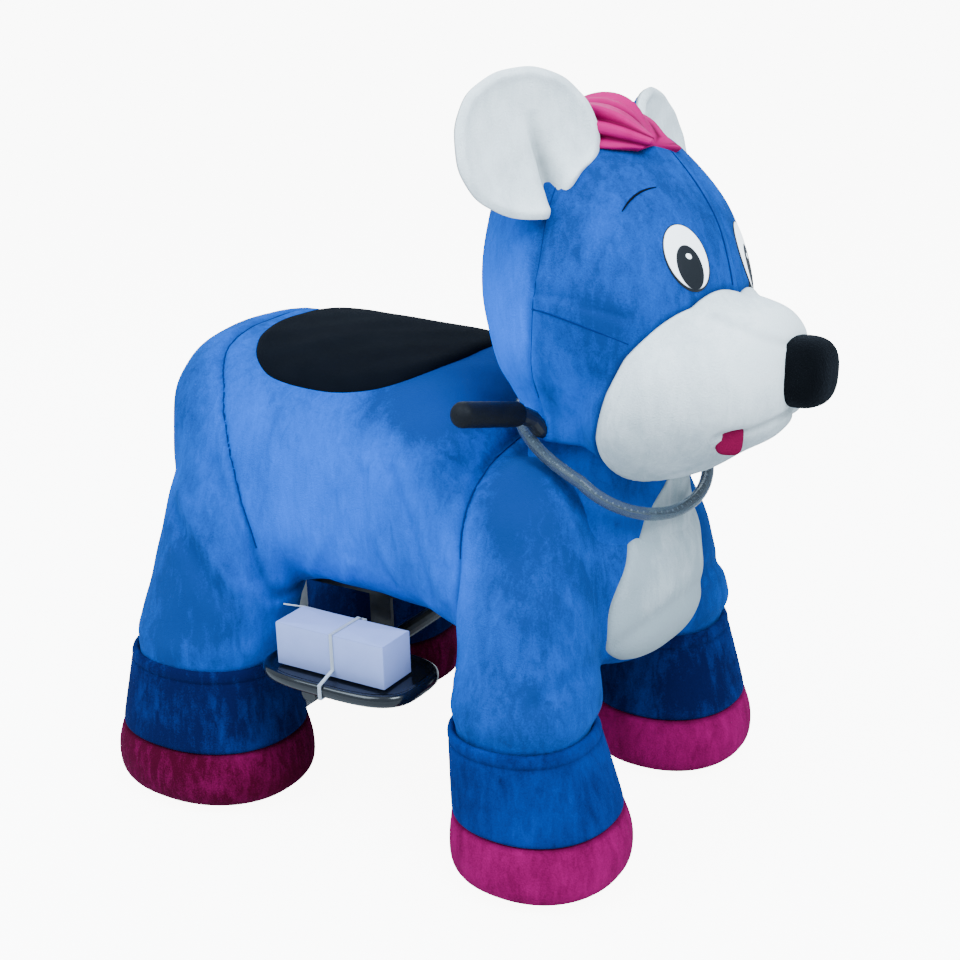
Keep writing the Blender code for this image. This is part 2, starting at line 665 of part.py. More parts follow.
def wheel(prefix, word, centre, radius, bore, finish):
    """A tyre with a rounded tread on a dished hub, turned about Y."""
    half = WHEEL_WIDTH / 2
    rim = radius - TYRE_DEPTH
    radius = radius / math.cos(math.pi / WHEEL_SIDES)
    tyre = [(-half, rim + SEAT_GAP), (half, rim + SEAT_GAP), (half, radius - 0.008), (half * 0.72, radius - 0.0015),
            (0, radius), (-half * 0.72, radius - 0.0015), (-half, radius - 0.008)]
    turned(f"{prefix}_tyre_{word}", centre, tyre, (0, 1, 0), finish["rubber"], WHEEL_SIDES)
    nave = bore + 0.011
    hub = [(-half, bore), (half, bore), (half, nave), (0.005, nave + 0.003), (0.005, rim - 0.007), (half - 0.001, rim),
           (-half + 0.001, rim), (-0.005, rim - 0.007), (-0.005, nave + 0.003), (-half, nave)]
    turned(f"{prefix}_hub_{word}", centre, hub, (0, 1, 0), finish["hub plastic"], WHEEL_SIDES)


def build_running_gear(finish):
    """Rear axle with its geared motor, and the two steered front forks."""
    reach = REAR_Y + WHEEL_WIDTH / 2 + 0.008
    rod("rear_axle", (REAR_X, -reach, REAR_WHEEL_RADIUS), (REAR_X, reach, REAR_WHEEL_RADIUS), REAR_AXLE_RADIUS,
        finish["steel"])
    for word, side in SIDES:
        wheel("rear", word, (REAR_X, side * REAR_Y, REAR_WHEEL_RADIUS), REAR_WHEEL_RADIUS,
              REAR_AXLE_RADIUS + SEAT_GAP, finish)

    long, wide, tall = GEARBOX_SIZE
    gearbox = centred_box("gearmotor", (REAR_X, 0, REAR_WHEEL_RADIUS + 0.004), (long * 0.8, wide, tall),
                          finish["alloy"])
    motor = rod("motor case", (REAR_X - 0.004, 0, REAR_WHEEL_RADIUS + 0.010),
                (REAR_X + long * 0.4 + MOTOR_LENGTH, 0, REAR_WHEEL_RADIUS + 0.040), MOTOR_RADIUS)
    combine(gearbox, motor, "UNION")
    bracket = box("motor bracket", (REAR_X - 0.006, -0.020, REAR_WHEEL_RADIUS + 0.02),
                  (REAR_X + 0.006, 0.020, FRAME_BOTTOM - SEAT_GAP))
    combine(gearbox, bracket, "UNION")
    bore = rod("gearbox bore", (REAR_X, -wide, REAR_WHEEL_RADIUS), (REAR_X, wide, REAR_WHEEL_RADIUS),
               REAR_AXLE_RADIUS + RUNNING_GAP)
    combine(gearbox, bore)

    blade_in = WHEEL_WIDTH / 2 + FORK_SIDE_ROOM
    blade_out = blade_in + FORK_BLADE
    crown = FRONT_WHEEL_RADIUS * 2 + FORK_TOP_ROOM
    for word, side in SIDES:
        y = side * FRONT_Y
        fork = rod(f"fork_{word}", (FRONT_X, y, crown + 0.004), (FRONT_X, y, ARM_TOP - 0.001), FORK_STEM_RADIUS,
                   finish["frame paint"])
        top = box(f"fork crown {word}", (FRONT_X - FORK_BLADE_WIDTH / 2, y - blade_out, crown),
                  (FRONT_X + FORK_BLADE_WIDTH / 2, y + blade_out, crown + 0.010))
        combine(fork, top, "UNION")
        for name, low, high in (("outer", -blade_out, -blade_in), ("inner", blade_in, blade_out)):
            blade = box(f"fork blade {name} {word}",
                        (FRONT_X - FORK_BLADE_WIDTH / 2, y + low, FRONT_WHEEL_RADIUS - 0.016),
                        (FRONT_X + FORK_BLADE_WIDTH / 2, y + high, crown + 0.002))
            combine(fork, blade, "UNION")
        collar = rod(f"fork collar {word}", (FRONT_X, y, FORK_TUBE_BOTTOM - RUNNING_GAP - 0.010),
                     (FRONT_X, y, FORK_TUBE_BOTTOM - RUNNING_GAP), FORK_STEM_RADIUS + FORK_TUBE_WALL)
        combine(fork, collar, "UNION")
        steer_arm(fork, word, y)
        hole = rod(f"axle hole {word}", (FRONT_X, y - 0.05, FRONT_WHEEL_RADIUS), (FRONT_X, y + 0.05, FRONT_WHEEL_RADIUS),
                   FRONT_AXLE_RADIUS + SEAT_GAP)
        combine(fork, hole)
        bolt = rod(f"front_axle_{word}", (FRONT_X, y - blade_out - 0.003, FRONT_WHEEL_RADIUS),
                   (FRONT_X, y + blade_out + 0.003, FRONT_WHEEL_RADIUS), FRONT_AXLE_RADIUS, finish["steel"])
        for name, way in (("outer", -1), ("inner", 1)):
            head = rod(f"bolt head {name} {word}", (FRONT_X, y + way * (blade_out + SEAT_GAP), FRONT_WHEEL_RADIUS),
                       (FRONT_X, y + way * (blade_out + SEAT_GAP + 0.005), FRONT_WHEEL_RADIUS), 0.0085, None, 6)
            combine(bolt, head, "UNION")
        wheel("front", word, (FRONT_X, y, FRONT_WHEEL_RADIUS), FRONT_WHEEL_RADIUS, FRONT_AXLE_RADIUS + RUNNING_GAP,
              finish)


def steer_arm(target, word, y):
    """Join a flat arm that points back from a vertical stem, with a pin for the track rod."""
    pin_x = FRONT_X - STEER_ARM
    arm = box(f"arm {word}", (pin_x, y - 0.010, ARM_BOTTOM), (FRONT_X, y + 0.010, ARM_TOP))
    combine(target, arm, "UNION")
    for name, x, radius in (("root", FRONT_X, 0.018), ("tip", pin_x, ROD_EYE_RADIUS)):
        boss = rod(f"arm {name} {word}", (x, y, ARM_BOTTOM), (x, y, ARM_TOP), radius)
        combine(target, boss, "UNION")
    pin = rod(f"arm pin {word}", (pin_x, y, ARM_TOP - 0.002), (pin_x, y, ROD_TOP + 0.004), ARM_PIN_RADIUS)
    combine(target, pin, "UNION")


def build_steering(finish):
    """Column with its arm, the track rod, the handlebar, the grips and the switch pod."""
    column = rod("steering_column", (FRONT_X, 0, ARM_BOTTOM), (FRONT_X, 0, COLUMN_TOP), COLUMN_RADIUS,
                 finish["frame paint"])
    steer_arm(column, "column", 0.0)
    combine(column, box("bar clamp", *clamp_corners(0.0)), "UNION")
    thrust = rod("thrust collar", (FRONT_X, 0, HEAD_TUBE_TOP + RUNNING_GAP), (FRONT_X, 0, HEAD_TUBE_TOP + 0.010),
                 COLUMN_RADIUS + 0.006)
    combine(column, thrust, "UNION")
    clamp_bore = rod("clamp bore", (FRONT_X - BAR_BACK, -0.05, BAR_HEIGHT), (FRONT_X - BAR_BACK, 0.05, BAR_HEIGHT),
                     BAR_BORE)
    combine(column, clamp_bore)

    pin_x = FRONT_X - STEER_ARM
    track = box("track_rod", (pin_x - 0.007, -FRONT_Y, ROD_BOTTOM), (pin_x + 0.007, FRONT_Y, ROD_TOP), finish["steel"])
    for name, y in (("right", -FRONT_Y), ("middle", 0.0), ("left", FRONT_Y)):
        combine(track, rod(f"rod eye {name}", (pin_x, y, ROD_BOTTOM), (pin_x, y, ROD_TOP), ROD_EYE_RADIUS), "UNION")
    for name, y in (("right", -FRONT_Y), ("middle", 0.0), ("left", FRONT_Y)):
        combine(track, rod(f"rod hole {name}", (pin_x, y, ROD_BOTTOM - 0.01), (pin_x, y, ROD_TOP + 0.01),
                           ARM_PIN_RADIUS + RUNNING_GAP))

    half, route = bar_route()
    tube("handlebar", route, BAR_RADIUS, finish["frame paint"], 12)
    for word, side in SIDES:
        start = Vector((half[5][0], side * half[5][1], half[5][2]))
        end = Vector((half[6][0], side * half[6][1], half[6][2]))
        along = (end - start).normalized()
        if side > 0:
            pod_spot = start + along * POD_SIZE[1] * 0.55
            start = start + along * (POD_SIZE[1] * 1.06)
        length = (end - start).length
        bore = BAR_BORE
        profile = [(0.004, bore), (length + SEAT_GAP, bore), (length + SEAT_GAP, 0.0), (length + 0.005, 0.0),
                   (length + 0.004, GRIP_RADIUS * 0.55), (length + 0.001, GRIP_RADIUS * 0.88),
                   (length - 0.004, GRIP_RADIUS), (0.010, GRIP_RADIUS), (0.004, GRIP_RADIUS * 0.94)]
        turned(f"grip_{word}", start, profile, along, finish["rubber"], 12)

    centre = (pod_spot.x - 0.001, pod_spot.y, pod_spot.z)
    pod = centred_box("switch_pod", centre, POD_SIZE, finish["case plastic"])
    bevel = pod.modifiers.new("edges", "BEVEL")
    bevel.width = 0.004
    bevel.segments = 2
    combine(pod, tube("pod bore", half, BAR_BORE, None, 12))
    face_x = centre[0] - POD_SIZE[0] / 2
    depth = BUTTON_TRAVEL + 0.003
    well_radius = BUTTON_RADIUS + RUNNING_GAP
    well = rod("button well", (face_x - 0.01, centre[1], centre[2] + 0.003), (face_x + depth, centre[1], centre[2] + 0.003),
               well_radius)
    combine(pod, well)
    rod("go_button", (face_x - BUTTON_PROUD, centre[1], centre[2] + 0.003),
        (face_x + depth - BUTTON_TRAVEL - 0.0004, centre[1], centre[2] + 0.003), BUTTON_RADIUS, finish["red button"])


def bar_route():
    """The handlebar's centre line: its left half, then the whole of it."""
    bar_x = FRONT_X - BAR_BACK
    grip_z = BAR_HEIGHT + BAR_RISE
    half = [(bar_x, BAR_ELBOW_Y - 0.010, BAR_HEIGHT), (bar_x, BAR_ELBOW_Y, BAR_HEIGHT + 0.002),
            (bar_x - 0.002, BAR_ELBOW_Y + 0.014, BAR_HEIGHT + 0.010), (bar_x - 0.005, GRIP_START_Y - 0.012, grip_z - 0.010),
            (bar_x - 0.008, GRIP_START_Y, grip_z - 0.003), (bar_x - 0.010, GRIP_START_Y + 0.008, grip_z + 0.001),
            (bar_x - GRIP_SWEEP, GRIP_END_Y - 0.004, grip_z + GRIP_LIFT)]
    return half, [(x, -y, z) for x, y, z in reversed(half)] + half


def clamp_corners(grow):
    """Corners of the block that holds the handlebar to the column, grown by a given distance."""
    edge = 0.006 + grow
    low = (FRONT_X - BAR_BACK - BAR_RADIUS - edge, -0.020 - grow, BAR_HEIGHT - BAR_RADIUS - edge)
    return low, (FRONT_X + grow, 0.020 + grow, BAR_HEIGHT + BAR_RADIUS + edge)


def build_power(finish):
    """Battery and controller on a steel shelf over the lower rails."""
    low = BEAM_TOP + SEAT_GAP
    centred_box("battery_shelf", (BOARD_CENTRE_X + 0.030, 0, low + SHELF_THICKNESS / 2),
                (SHELF_LENGTH, SHELF_WIDTH, SHELF_THICKNESS), finish["gloss black"])
    floor = low + SHELF_THICKNESS + SEAT_GAP
    battery = centred_box("battery_pack", (BOARD_CENTRE_X - 0.020, 0, floor + BATTERY_SIZE[2] / 2), BATTERY_SIZE,
                          finish["case plastic"])
    bevel = battery.modifiers.new("edges", "BEVEL")
    bevel.width = 0.004
    bevel.segments = 1
    box_x = BOARD_CENTRE_X - 0.020 + BATTERY_SIZE[0] / 2 + CONTROLLER_SIZE[0] / 2 + 0.010
    centred_box("motor_controller", (box_x, 0, floor + CONTROLLER_SIZE[2] / 2), CONTROLLER_SIZE, finish["alloy"])


def neck_form(name, grow=0.0, material=None, sides=22):
    """The neck: rings that tip forward over the shoulders and lie level under the head."""
    rings = []
    for z, half_x, half_y, tip in smooth_table(NECK, 6):
        a, b = superellipse(half_x + grow, half_y + grow, 2.0, sides)
        tip = math.radians(tip)
        rings.append([(FRONT_X + u * math.cos(tip), v, z - u * math.sin(tip)) for u, v in zip(a, b)])
    rings[0] = [(x, y, z - grow) for x, y, z in rings[0]]
    rings[-1] = [(x, y, z + grow) for x, y, z in rings[-1]]
    return loft(name, rings, material)


def lean_head(item):
    """Lean a finished piece of the head to the animal's left about the pivot on the steering axis."""
    pivot = Matrix.Translation((FRONT_X, 0, HEAD_PIVOT_Z))
    item.matrix_world = pivot @ Matrix.Rotation(math.radians(HEAD_LEAN), 4, "X") @ pivot.inverted()
    return item


def head_form(name, grow=0.0, material=None, sides=28, levels=14):
    """The head's form, grown outwards by a given distance."""
    rings = []
    table = smooth_table(HEAD, levels)
    for z, shift, half_x, half_y in table:
        a, b = superellipse(half_x + grow, half_y + grow, 2.15, sides)
        rings.append([(FRONT_X + shift + u, v, z) for u, v in zip(a, b)])
    rings[0] = [(x, y, z - grow) for x, y, z in rings[0]]
    rings[-1] = [(x, y, z + grow) for x, y, z in rings[-1]]
    return lean_head(loft(name, rings, material))


def muzzle_form(name, grow=0.0, material=None, sides=24, levels=12):
    """The muzzle's form, grown outwards by a given distance."""
    rings = []
    for x, centre_z, half_y, half_z in smooth_table(MUZZLE, levels):
        a, b = superellipse(half_y + grow, half_z + grow, 2.1, sides)
        rings.append([(FRONT_X + x, u, centre_z + v) for u, v in zip(a, b)])
    rings[0] = [(x - grow, y, z) for x, y, z in rings[0]]
    rings[-1] = [(x + grow, y, z) for x, y, z in rings[-1]]
    return lean_head(loft(name, rings, material))


def build_body(finish):
    """Padded torso shell, legs, boots, seat pad and bib."""
    blue = finish["blue plush"]
    torso = torso_form("torso", 0.0, blue)
    tunnel_front = box("front tunnel", (FRONT_X - STEER_ARM - 0.018, -FRONT_Y + 0.0163, FRAME_BOTTOM - 0.0127),
                       (FRONT_X + 0.0303, FRONT_Y - 0.0163, ROD_TOP + 0.008))
    sweeps = []
    shafts = []
    reach = STEER_ARM + 0.015
    for word, side in SIDES:
        shafts.append(rod(f"fork shaft {word}", (FRONT_X, side * FRONT_Y, 0.1), (FRONT_X, side * FRONT_Y, FORK_TUBE_TOP), 0.040))
        fan = [(0.031, 0.0), (0.0, 0.0285)]
        fan += [(-reach * math.cos(math.radians(a)), reach * math.sin(math.radians(a))) for a in (32, 16, 0, -16, -32)]
        fan += [(0.0, -0.0285)]
        rings = [[(FRONT_X + u, side * (FRONT_Y + v), z) for u, v in fan] for z in (ARM_BOTTOM - 0.013, ROD_TOP + 0.0065)]
        sweeps.append(loft(f"arm sweep {word}", rings, None))
    board_end = BOARD_LENGTH / 2 + BOARD_ROOM
    cavity = box("main cavity", (min(REAR_X - 0.030, BOARD_CENTRE_X - board_end), -CAVITY_HALF_WIDTH, 0.15),
                 (BOARD_CENTRE_X + board_end, CAVITY_HALF_WIDTH, BOARD_TOP + SEAT_GAP))
    fore = box("front cavity", (0.08, -CAVITY_HALF_WIDTH + 0.01, 0.16), (FRONT_X + 0.034, CAVITY_HALF_WIDTH - 0.01, ROD_TOP + 0.030))
    well = box("column well", (FRONT_X - HEAD_TUBE_RADIUS - 0.004, -HEAD_TUBE_RADIUS - 0.004, ROD_TOP),
               (FRONT_X + HEAD_TUBE_RADIUS + 0.012, HEAD_TUBE_RADIUS + 0.004, 0.60))
    slot = box("spine slot", (0.08, -SPINE_SIZE / 2 - 0.003, ROD_TOP), (FRONT_X, SPINE_SIZE / 2 + 0.003, SPINE_BOTTOM + SPINE_SIZE + 0.003))
    tunnel_rear = box("rear tunnel", (REAR_X - 0.031, -POST_SPREAD - 0.020, 0.14),
                      (REAR_X + 0.030, POST_SPREAD + 0.020, BEAM_TOP + 0.008))
    for cutter in (cavity, fore, *shafts, *sweeps, tunnel_front, tunnel_rear, well, slot):
        combine(torso, cutter)

    outer = torso_form("torso for legs", CLOTH_GAP)
    around_neck = neck_form("neck for legs", CLOTH_GAP)
    inner = RAIL_SPREAD + RAIL_SIZE / 2 + TURN_GAP
    keep_apart = box("between the legs", (-0.5, -inner, 0.1), (0.5, inner, 0.7))
    for place, table, x, in (("front", FRONT_LEG, FRONT_X), ("rear", REAR_LEG, REAR_X)):
        for word, side in SIDES:
            leg = leg_form(f"leg_{place}_{word}", table, x, side, blue)
            if place == "front":
                combine(leg, shafts[0] if side < 0 else shafts[1])
                combine(leg, sweeps[0] if side < 0 else sweeps[1])
                combine(leg, tunnel_front)
            else:
                shaft = rod(f"post shaft {word}", (x, side * POST_SPREAD, 0.1), (x, side * POST_SPREAD, BEAM_TOP), 0.034)
                combine(leg, shaft)
                combine(leg, tunnel_rear)
            combine(leg, keep_apart)
            combine(leg, outer)
            if place == "front":
                combine(leg, around_neck)

    make = (("front", FRONT_BOOT_HALF, FRONT_BOOT_LEAN, FRONT_X, FRONT_Y), ("rear", REAR_BOOT_HALF, REAR_BOOT_LEAN, REAR_X, REAR_Y))
    for place, half, lean, x, y in make:
        for word, side in SIDES:
            make_boot(f"boot_{place}_{word}", half, lean, x, side * y, side, finish)

    seat = torso_form("seat_cushion", SEAT_PAD, finish["saddle cloth"])
    a, b = superellipse(SEAT_HALF[0], SEAT_HALF[1], 2.6, 28)
    prism = loft("seat outline", [[(SEAT_CENTRE_X + u, v, z) for u, v in zip(a, b)] for z in (0.50, 0.75)], None)
    combine(seat, prism, "INTERSECT")
    combine(seat, torso_form("torso for seat", CLOTH_GAP))

    bib = torso_form("chest_bib", BIB_THICKNESS, finish["white plush"])
    outline = [(-BIB_TOP_HALF, 0.50), (BIB_TOP_HALF, 0.50), (BIB_HALF * 0.9, 0.42), (BIB_HALF, 0.34), (BIB_HALF * 0.86, 0.262),
               (-BIB_HALF * 0.86, 0.262), (-BIB_HALF, 0.34), (-BIB_HALF * 0.9, 0.42)]
    prism = loft("bib outline", [[(x, y, z) for y, z in outline] for x in (0.29, 0.50)], None)
    combine(bib, prism, "INTERSECT")
    combine(bib, torso_form("torso for bib", CLOTH_GAP))
    combine(bib, neck_form("neck for bib", CLOTH_GAP))
    neck = neck_form("neck", 0.0, blue)
    combine(neck, torso_form("torso for neck", CLOTH_GAP))
    hollow = rod("neck hollow", (FRONT_X, 0, 0.38), (FRONT_X, 0, NECK[-1][0] + 0.02), NECK_HOLLOW, None, 16)
    combine(neck, hollow)


def make_boot(name, half, lean, x, y, side, finish):
    """A hollow boot: a cuff over a hoof band, open below for the wheel."""
    rings = []
    for z, share, shift in smooth_table(BOOT, 11):
        a, b = superellipse(half[0] * share, half[1] * share, 2.2, 22)
        rings.append([(x + lean[0] * shift + u, y + side * lean[1] * shift + v, z) for u, v in zip(a, b)])
    boot = loft(name, rings, finish["dark plush"])
    boot.data.materials.append(finish["pink plush"])
    for face in boot.data.polygons:
        if face.center.z < BAND_TOP:
            face.material_index = 1
    top = BOOT[-1][0]
    rings = []
    for z in (-0.02, 0.055, 0.110, top - BOOT_ROOF):
        share, shift = (np.interp(z, [row[0] for row in BOOT], [row[k] for row in BOOT]) for k in (1, 2))
        share = max(share, 0.88 if z > 0 else 0.0) if z < 0.06 else share
        a, b = superellipse(half[0] * share - BOOT_WALL, half[1] * share - BOOT_WALL, 2.2, 16)
        rings.append([(x + lean[0] * shift + u, y + side * lean[1] * shift + v, z) for u, v in zip(a, b)])
    cavity = loft(f"{name} hollow", rings, None)
    rear = x < 0
    shaft_y = side * POST_SPREAD if rear else y
    shaft = rod(f"{name} shaft", (x, shaft_y, top - BOOT_ROOF - 0.02), (x, shaft_y, top + 0.02), 0.034 if rear else 0.030)
    if rear:
        inner = sorted((y - side * half[1] * 0.6, y - side * (half[1] + 0.03)))
        slot = box(f"{name} axle slot", (x - 0.0217, inner[0], -0.0213), (x + 0.0223, inner[1], REAR_WHEEL_RADIUS + 0.0227))
        combine(boot, slot)
    combine(boot, cavity)
    combine(boot, shaft)


def build_head(finish):
    """Head, muzzle, nose, tongue, eyes, ears and tuft, all turning with the column."""
    head = head_form("head", 0.0, finish["blue plush"])
    floor = box("head floor", (FRONT_X - 0.3, -0.3, 0.4), (FRONT_X + 0.4, 0.3, NECK[-1][0] + TURN_GAP))
    combine(head, floor)
    combine(head, rod("column hole", (FRONT_X, 0, 0.40), (FRONT_X, 0, COLUMN_TOP + SEAT_GAP), COLUMN_RADIUS + SEAT_GAP))
    combine(head, tube("bar hole", bar_route()[1], BAR_BORE + CLOTH_GAP))
    combine(head, collar_form("collar groove", SEAT_GAP))
    low, high = clamp_corners(SEAT_GAP)
    combine(head, box("clamp recess", (low[0], low[1], 0.50), high))

    muzzle = muzzle_form("muzzle", 0.0, finish["white plush"])
    combine(muzzle, head_form("head for muzzle", SEAT_GAP * 2))
    sweep = [(z, max(half_x, half_y) + TURN_GAP * 2) for z, half_x, half_y, _ in smooth_table(NECK, 5)]
    sweep[0] = (sweep[0][0] - 0.05, sweep[0][1] + 0.01)
    rings = []
    for z, radius in sweep:
        a, b = superellipse(radius, radius, 2.0, 24)
        rings.append([(FRONT_X + u, v, z + TURN_GAP) for u, v in zip(a, b)])
    combine(muzzle, loft("neck sweep", rings, None))

    nose = ellipsoid("nose", (FRONT_X + NOSE_CENTRE[0], 0, NOSE_CENTRE[2]), NOSE_HALF, finish["black plush"], 16, 8, 2.6)
    combine(lean_head(nose), muzzle_form("muzzle for nose", SEAT_GAP * 2))

    centre, size = head_level(EYE_HEIGHT)
    for word, side in SIDES:
        yaw = math.radians(EYE_YAW[word]) * side
        spot = centre + Vector((math.cos(yaw) * size[0], math.sin(yaw) * size[1], 0))
        above, wide = head_level(EYE_HEIGHT + 0.02)
        upper = above + Vector((math.cos(yaw) * wide[0], math.sin(yaw) * wide[1], 0))
        climb = (upper - spot).normalized()
        normal = Vector((-math.sin(yaw), math.cos(yaw), 0)).cross(climb).normalized()
        turn = normal.to_track_quat("X", "Z").to_matrix()
        eye = ellipsoid(f"eye_{word}", spot, EYE_HALF, finish["eye print"], 14, 8, 2.0, turn)
        combine(lean_head(eye), head_form(f"head for eye {word}", SEAT_GAP * 2))
        make_ear(word, side, finish)

    tuft = make_tuft(finish)
    combine(tuft, head_form("head for tuft", CLOTH_GAP))

    turn = Vector(TONGUE_FACE).to_track_quat("X", "Z").to_matrix()
    tongue = ellipsoid("tongue", (FRONT_X + TONGUE_CENTRE[0], TONGUE_CENTRE[1], TONGUE_CENTRE[2]), [v / 2 for v in TONGUE_SIZE],
                       finish["pink satin"], 12, 6, 3.0, turn)
    combine(lean_head(tongue), muzzle_form("muzzle for tongue", SEAT_GAP * 2))


def head_level(height):
    """Centre and half sizes of the head at one height."""
    rows = np.array(HEAD)
    shift, half_x, half_y = (np.interp(height, rows[:, 0], rows[:, k]) for k in (1, 2, 3))
    return Vector((FRONT_X + shift, 0, height)), (half_x, half_y)


def make_ear(word, side, finish):
    """A big round cupped ear, facing forward and out, its lining white."""
    yaw = math.radians(EAR_YAW[word]) * side
    normal = Vector((math.cos(yaw), math.sin(yaw), 0.10)).normalized()
    up = Vector((0, 0, 1))
    across = up.cross(normal).normalized()
    up = normal.cross(across)
    centre = Vector((FRONT_X + EAR_CENTRE[0], side * EAR_CENTRE[1], EAR_CENTRE[2]))
    sides = 24
    rings = []
    back = (0.45, 0.85)
    front = (0.90, 0.50)
    for share in back:
        rings.append((share, -EAR_THICKNESS * math.sqrt(1 - share**2) * 1.2 - 0.002))
    rings.append((1.0, 0.0))
    for share in front:
        rings.append((share, 0.006 - EAR_CUP * (1 - share**2)))
    loops = []
    for share, depth in rings:
        a, b = superellipse(EAR_HALF[0] * share, EAR_HALF[1] * share, 2.15, sides)
        loops.append([centre + across * u + up * v + normal * depth for u, v in zip(a, b)])
    ear = loft(f"ear_{word}", loops, finish["blue plush"])
    ear.data.materials.append(finish["white plush"])
    for face in ear.data.polygons:
        if face.normal.dot(normal) > 0.25:
            face.material_index = 1
    combine(lean_head(ear), head_form(f"head for ear {word}", CLOTH_GAP))


def make_tuft(finish):
    """A gathered satin tuft: pleats fan forward from between the ears."""
    centre = Vector((FRONT_X - 0.010, TUFT_ASIDE, HEAD[-1][0] - 0.008))
    rings = []
    sides = 20
    for along, half, height in smooth_table(TUFT, 8):
        a, b = superellipse(half, height, 2.0, sides)
        ripple = 1 + TUFT_RIPPLE * np.cos(np.arange(sides) * 2 * math.pi * TUFT_PLEATS / sides)
        drop = -TUFT_DROOP * along ** 2
        rings.append([centre + Vector((along, u * r, v * r + drop)) for u, v, r in zip(a, b, ripple)])
    return lean_head(loft("tuft", rings, finish["pink satin"]))


def collar_form(name, grow=0.0, material=None):
    """The light tube's loop: snug behind the head and hanging lower over the chest."""
    route = []
    count = 36
    for step in range(count):
        angle = 2 * math.pi * step / count
        reach = COLLAR_FRONT if math.cos(angle) > 0 else COLLAR_BACK
        height = COLLAR_HEIGHT - COLLAR_DROP * ((1 + math.cos(angle)) / 2) ** 1.05
        route.append(Vector((FRONT_X + COLLAR_AHEAD + reach * math.cos(angle), COLLAR_HALF_WIDTH * math.sin(angle), height)))
    points = []
    sides = 6
    radius = COLLAR_RADIUS + grow
    for index, point in enumerate(route):
        heading = (route[(index + 1) % count] - route[index - 1]).normalized()
        side = heading.cross(Vector((0, 0, 1))).normalized()
        other = heading.cross(side)
        turns = [2 * math.pi * k / sides for k in range(sides)]
        points += [point + side * math.cos(turn) * radius + other * math.sin(turn) * radius for turn in turns]
    faces = []
    for index in range(count):
        here, after = index * sides, ((index + 1) % count) * sides
        for k in range(sides):
            follow = (k + 1) % sides
            faces.append((here + k, after + k, after + follow, here + follow))
    return add_mesh(name, points, faces, material)


def hang(name, spot, parent, pieces):
    """Stand an empty on a joint's axis and hang pieces on it, which stay where they are."""
    axis = bpy.data.objects.new(name, None)
    bpy.context.scene.collection.objects.link(axis)
    axis.parent = parent
    axis.matrix_parent_inverse = Matrix.Translation(-Vector(parent["spot"])) if parent else Matrix.Identity(4)
    axis.location = spot
    axis["spot"] = spot if parent else (0.0, 0.0, 0.0)
    for piece in pieces:
        item = bpy.data.objects[piece]
        item.parent = axis
        item.matrix_parent_inverse = Matrix.Translation(-Vector(axis["spot"]))
    return axis


def arrange():
    """Centre the ride over the origin and hang each moving set on its joint's axis."""
    items = [item.name for item in bpy.data.objects]
    ride = hang("ride", (-CENTRE_X, 0.0, 0.0), None, items)
    steering = hang("steering axis", (FRONT_X, 0.0, HEAD_TUBE_BOTTOM), ride,
                    ["steering_column", "handlebar", "grip_right", "grip_left", "switch_pod", "head", "muzzle", "nose",
                     "eye_right", "eye_left", "ear_right", "ear_left", "tuft", "tongue", "light_tube"])
    hang("track rod axis", (FRONT_X - STEER_ARM, 0.0, ROD_BOTTOM), steering, ["track_rod"])
    button = bpy.data.objects["go_button"].data.vertices[0].co
    hang("button axis", tuple(button), steering, ["go_button"])
    for word, side in SIDES:
        fork = hang(f"fork axis {word}", (FRONT_X, side * FRONT_Y, FORK_TUBE_BOTTOM), ride,
                    [f"fork_{word}", f"front_axle_{word}"])
        hang(f"front wheel axis {word}", (FRONT_X, side * FRONT_Y, FRONT_WHEEL_RADIUS), fork,
             [f"front_tyre_{word}", f"front_hub_{word}"])
    hang("rear axle axis", (REAR_X, 0.0, REAR_WHEEL_RADIUS), ride,
         ["rear_axle", "rear_tyre_right", "rear_tyre_left", "rear_hub_right", "rear_hub_left"])


def main():
    """Build every piece of the ride."""
    clear_scene()
    finish = build_materials()
    build_frame(finish)
    build_footrests(finish)
    build_running_gear(finish)
    build_steering(finish)
    build_power(finish)
    build_body(finish)
    build_head(finish)
    collar_form("light_tube", 0.0, finish["clear tube"])
    arrange()


main()
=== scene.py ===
"""Looks of a ride-on plush animal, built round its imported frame. Metres, +X forward, +Y the animal's left, +Z up."""

import math

import bmesh
import bpy
import numpy as np
from mathutils import Matrix, Vector
from mathutils.bvhtree import BVHTree


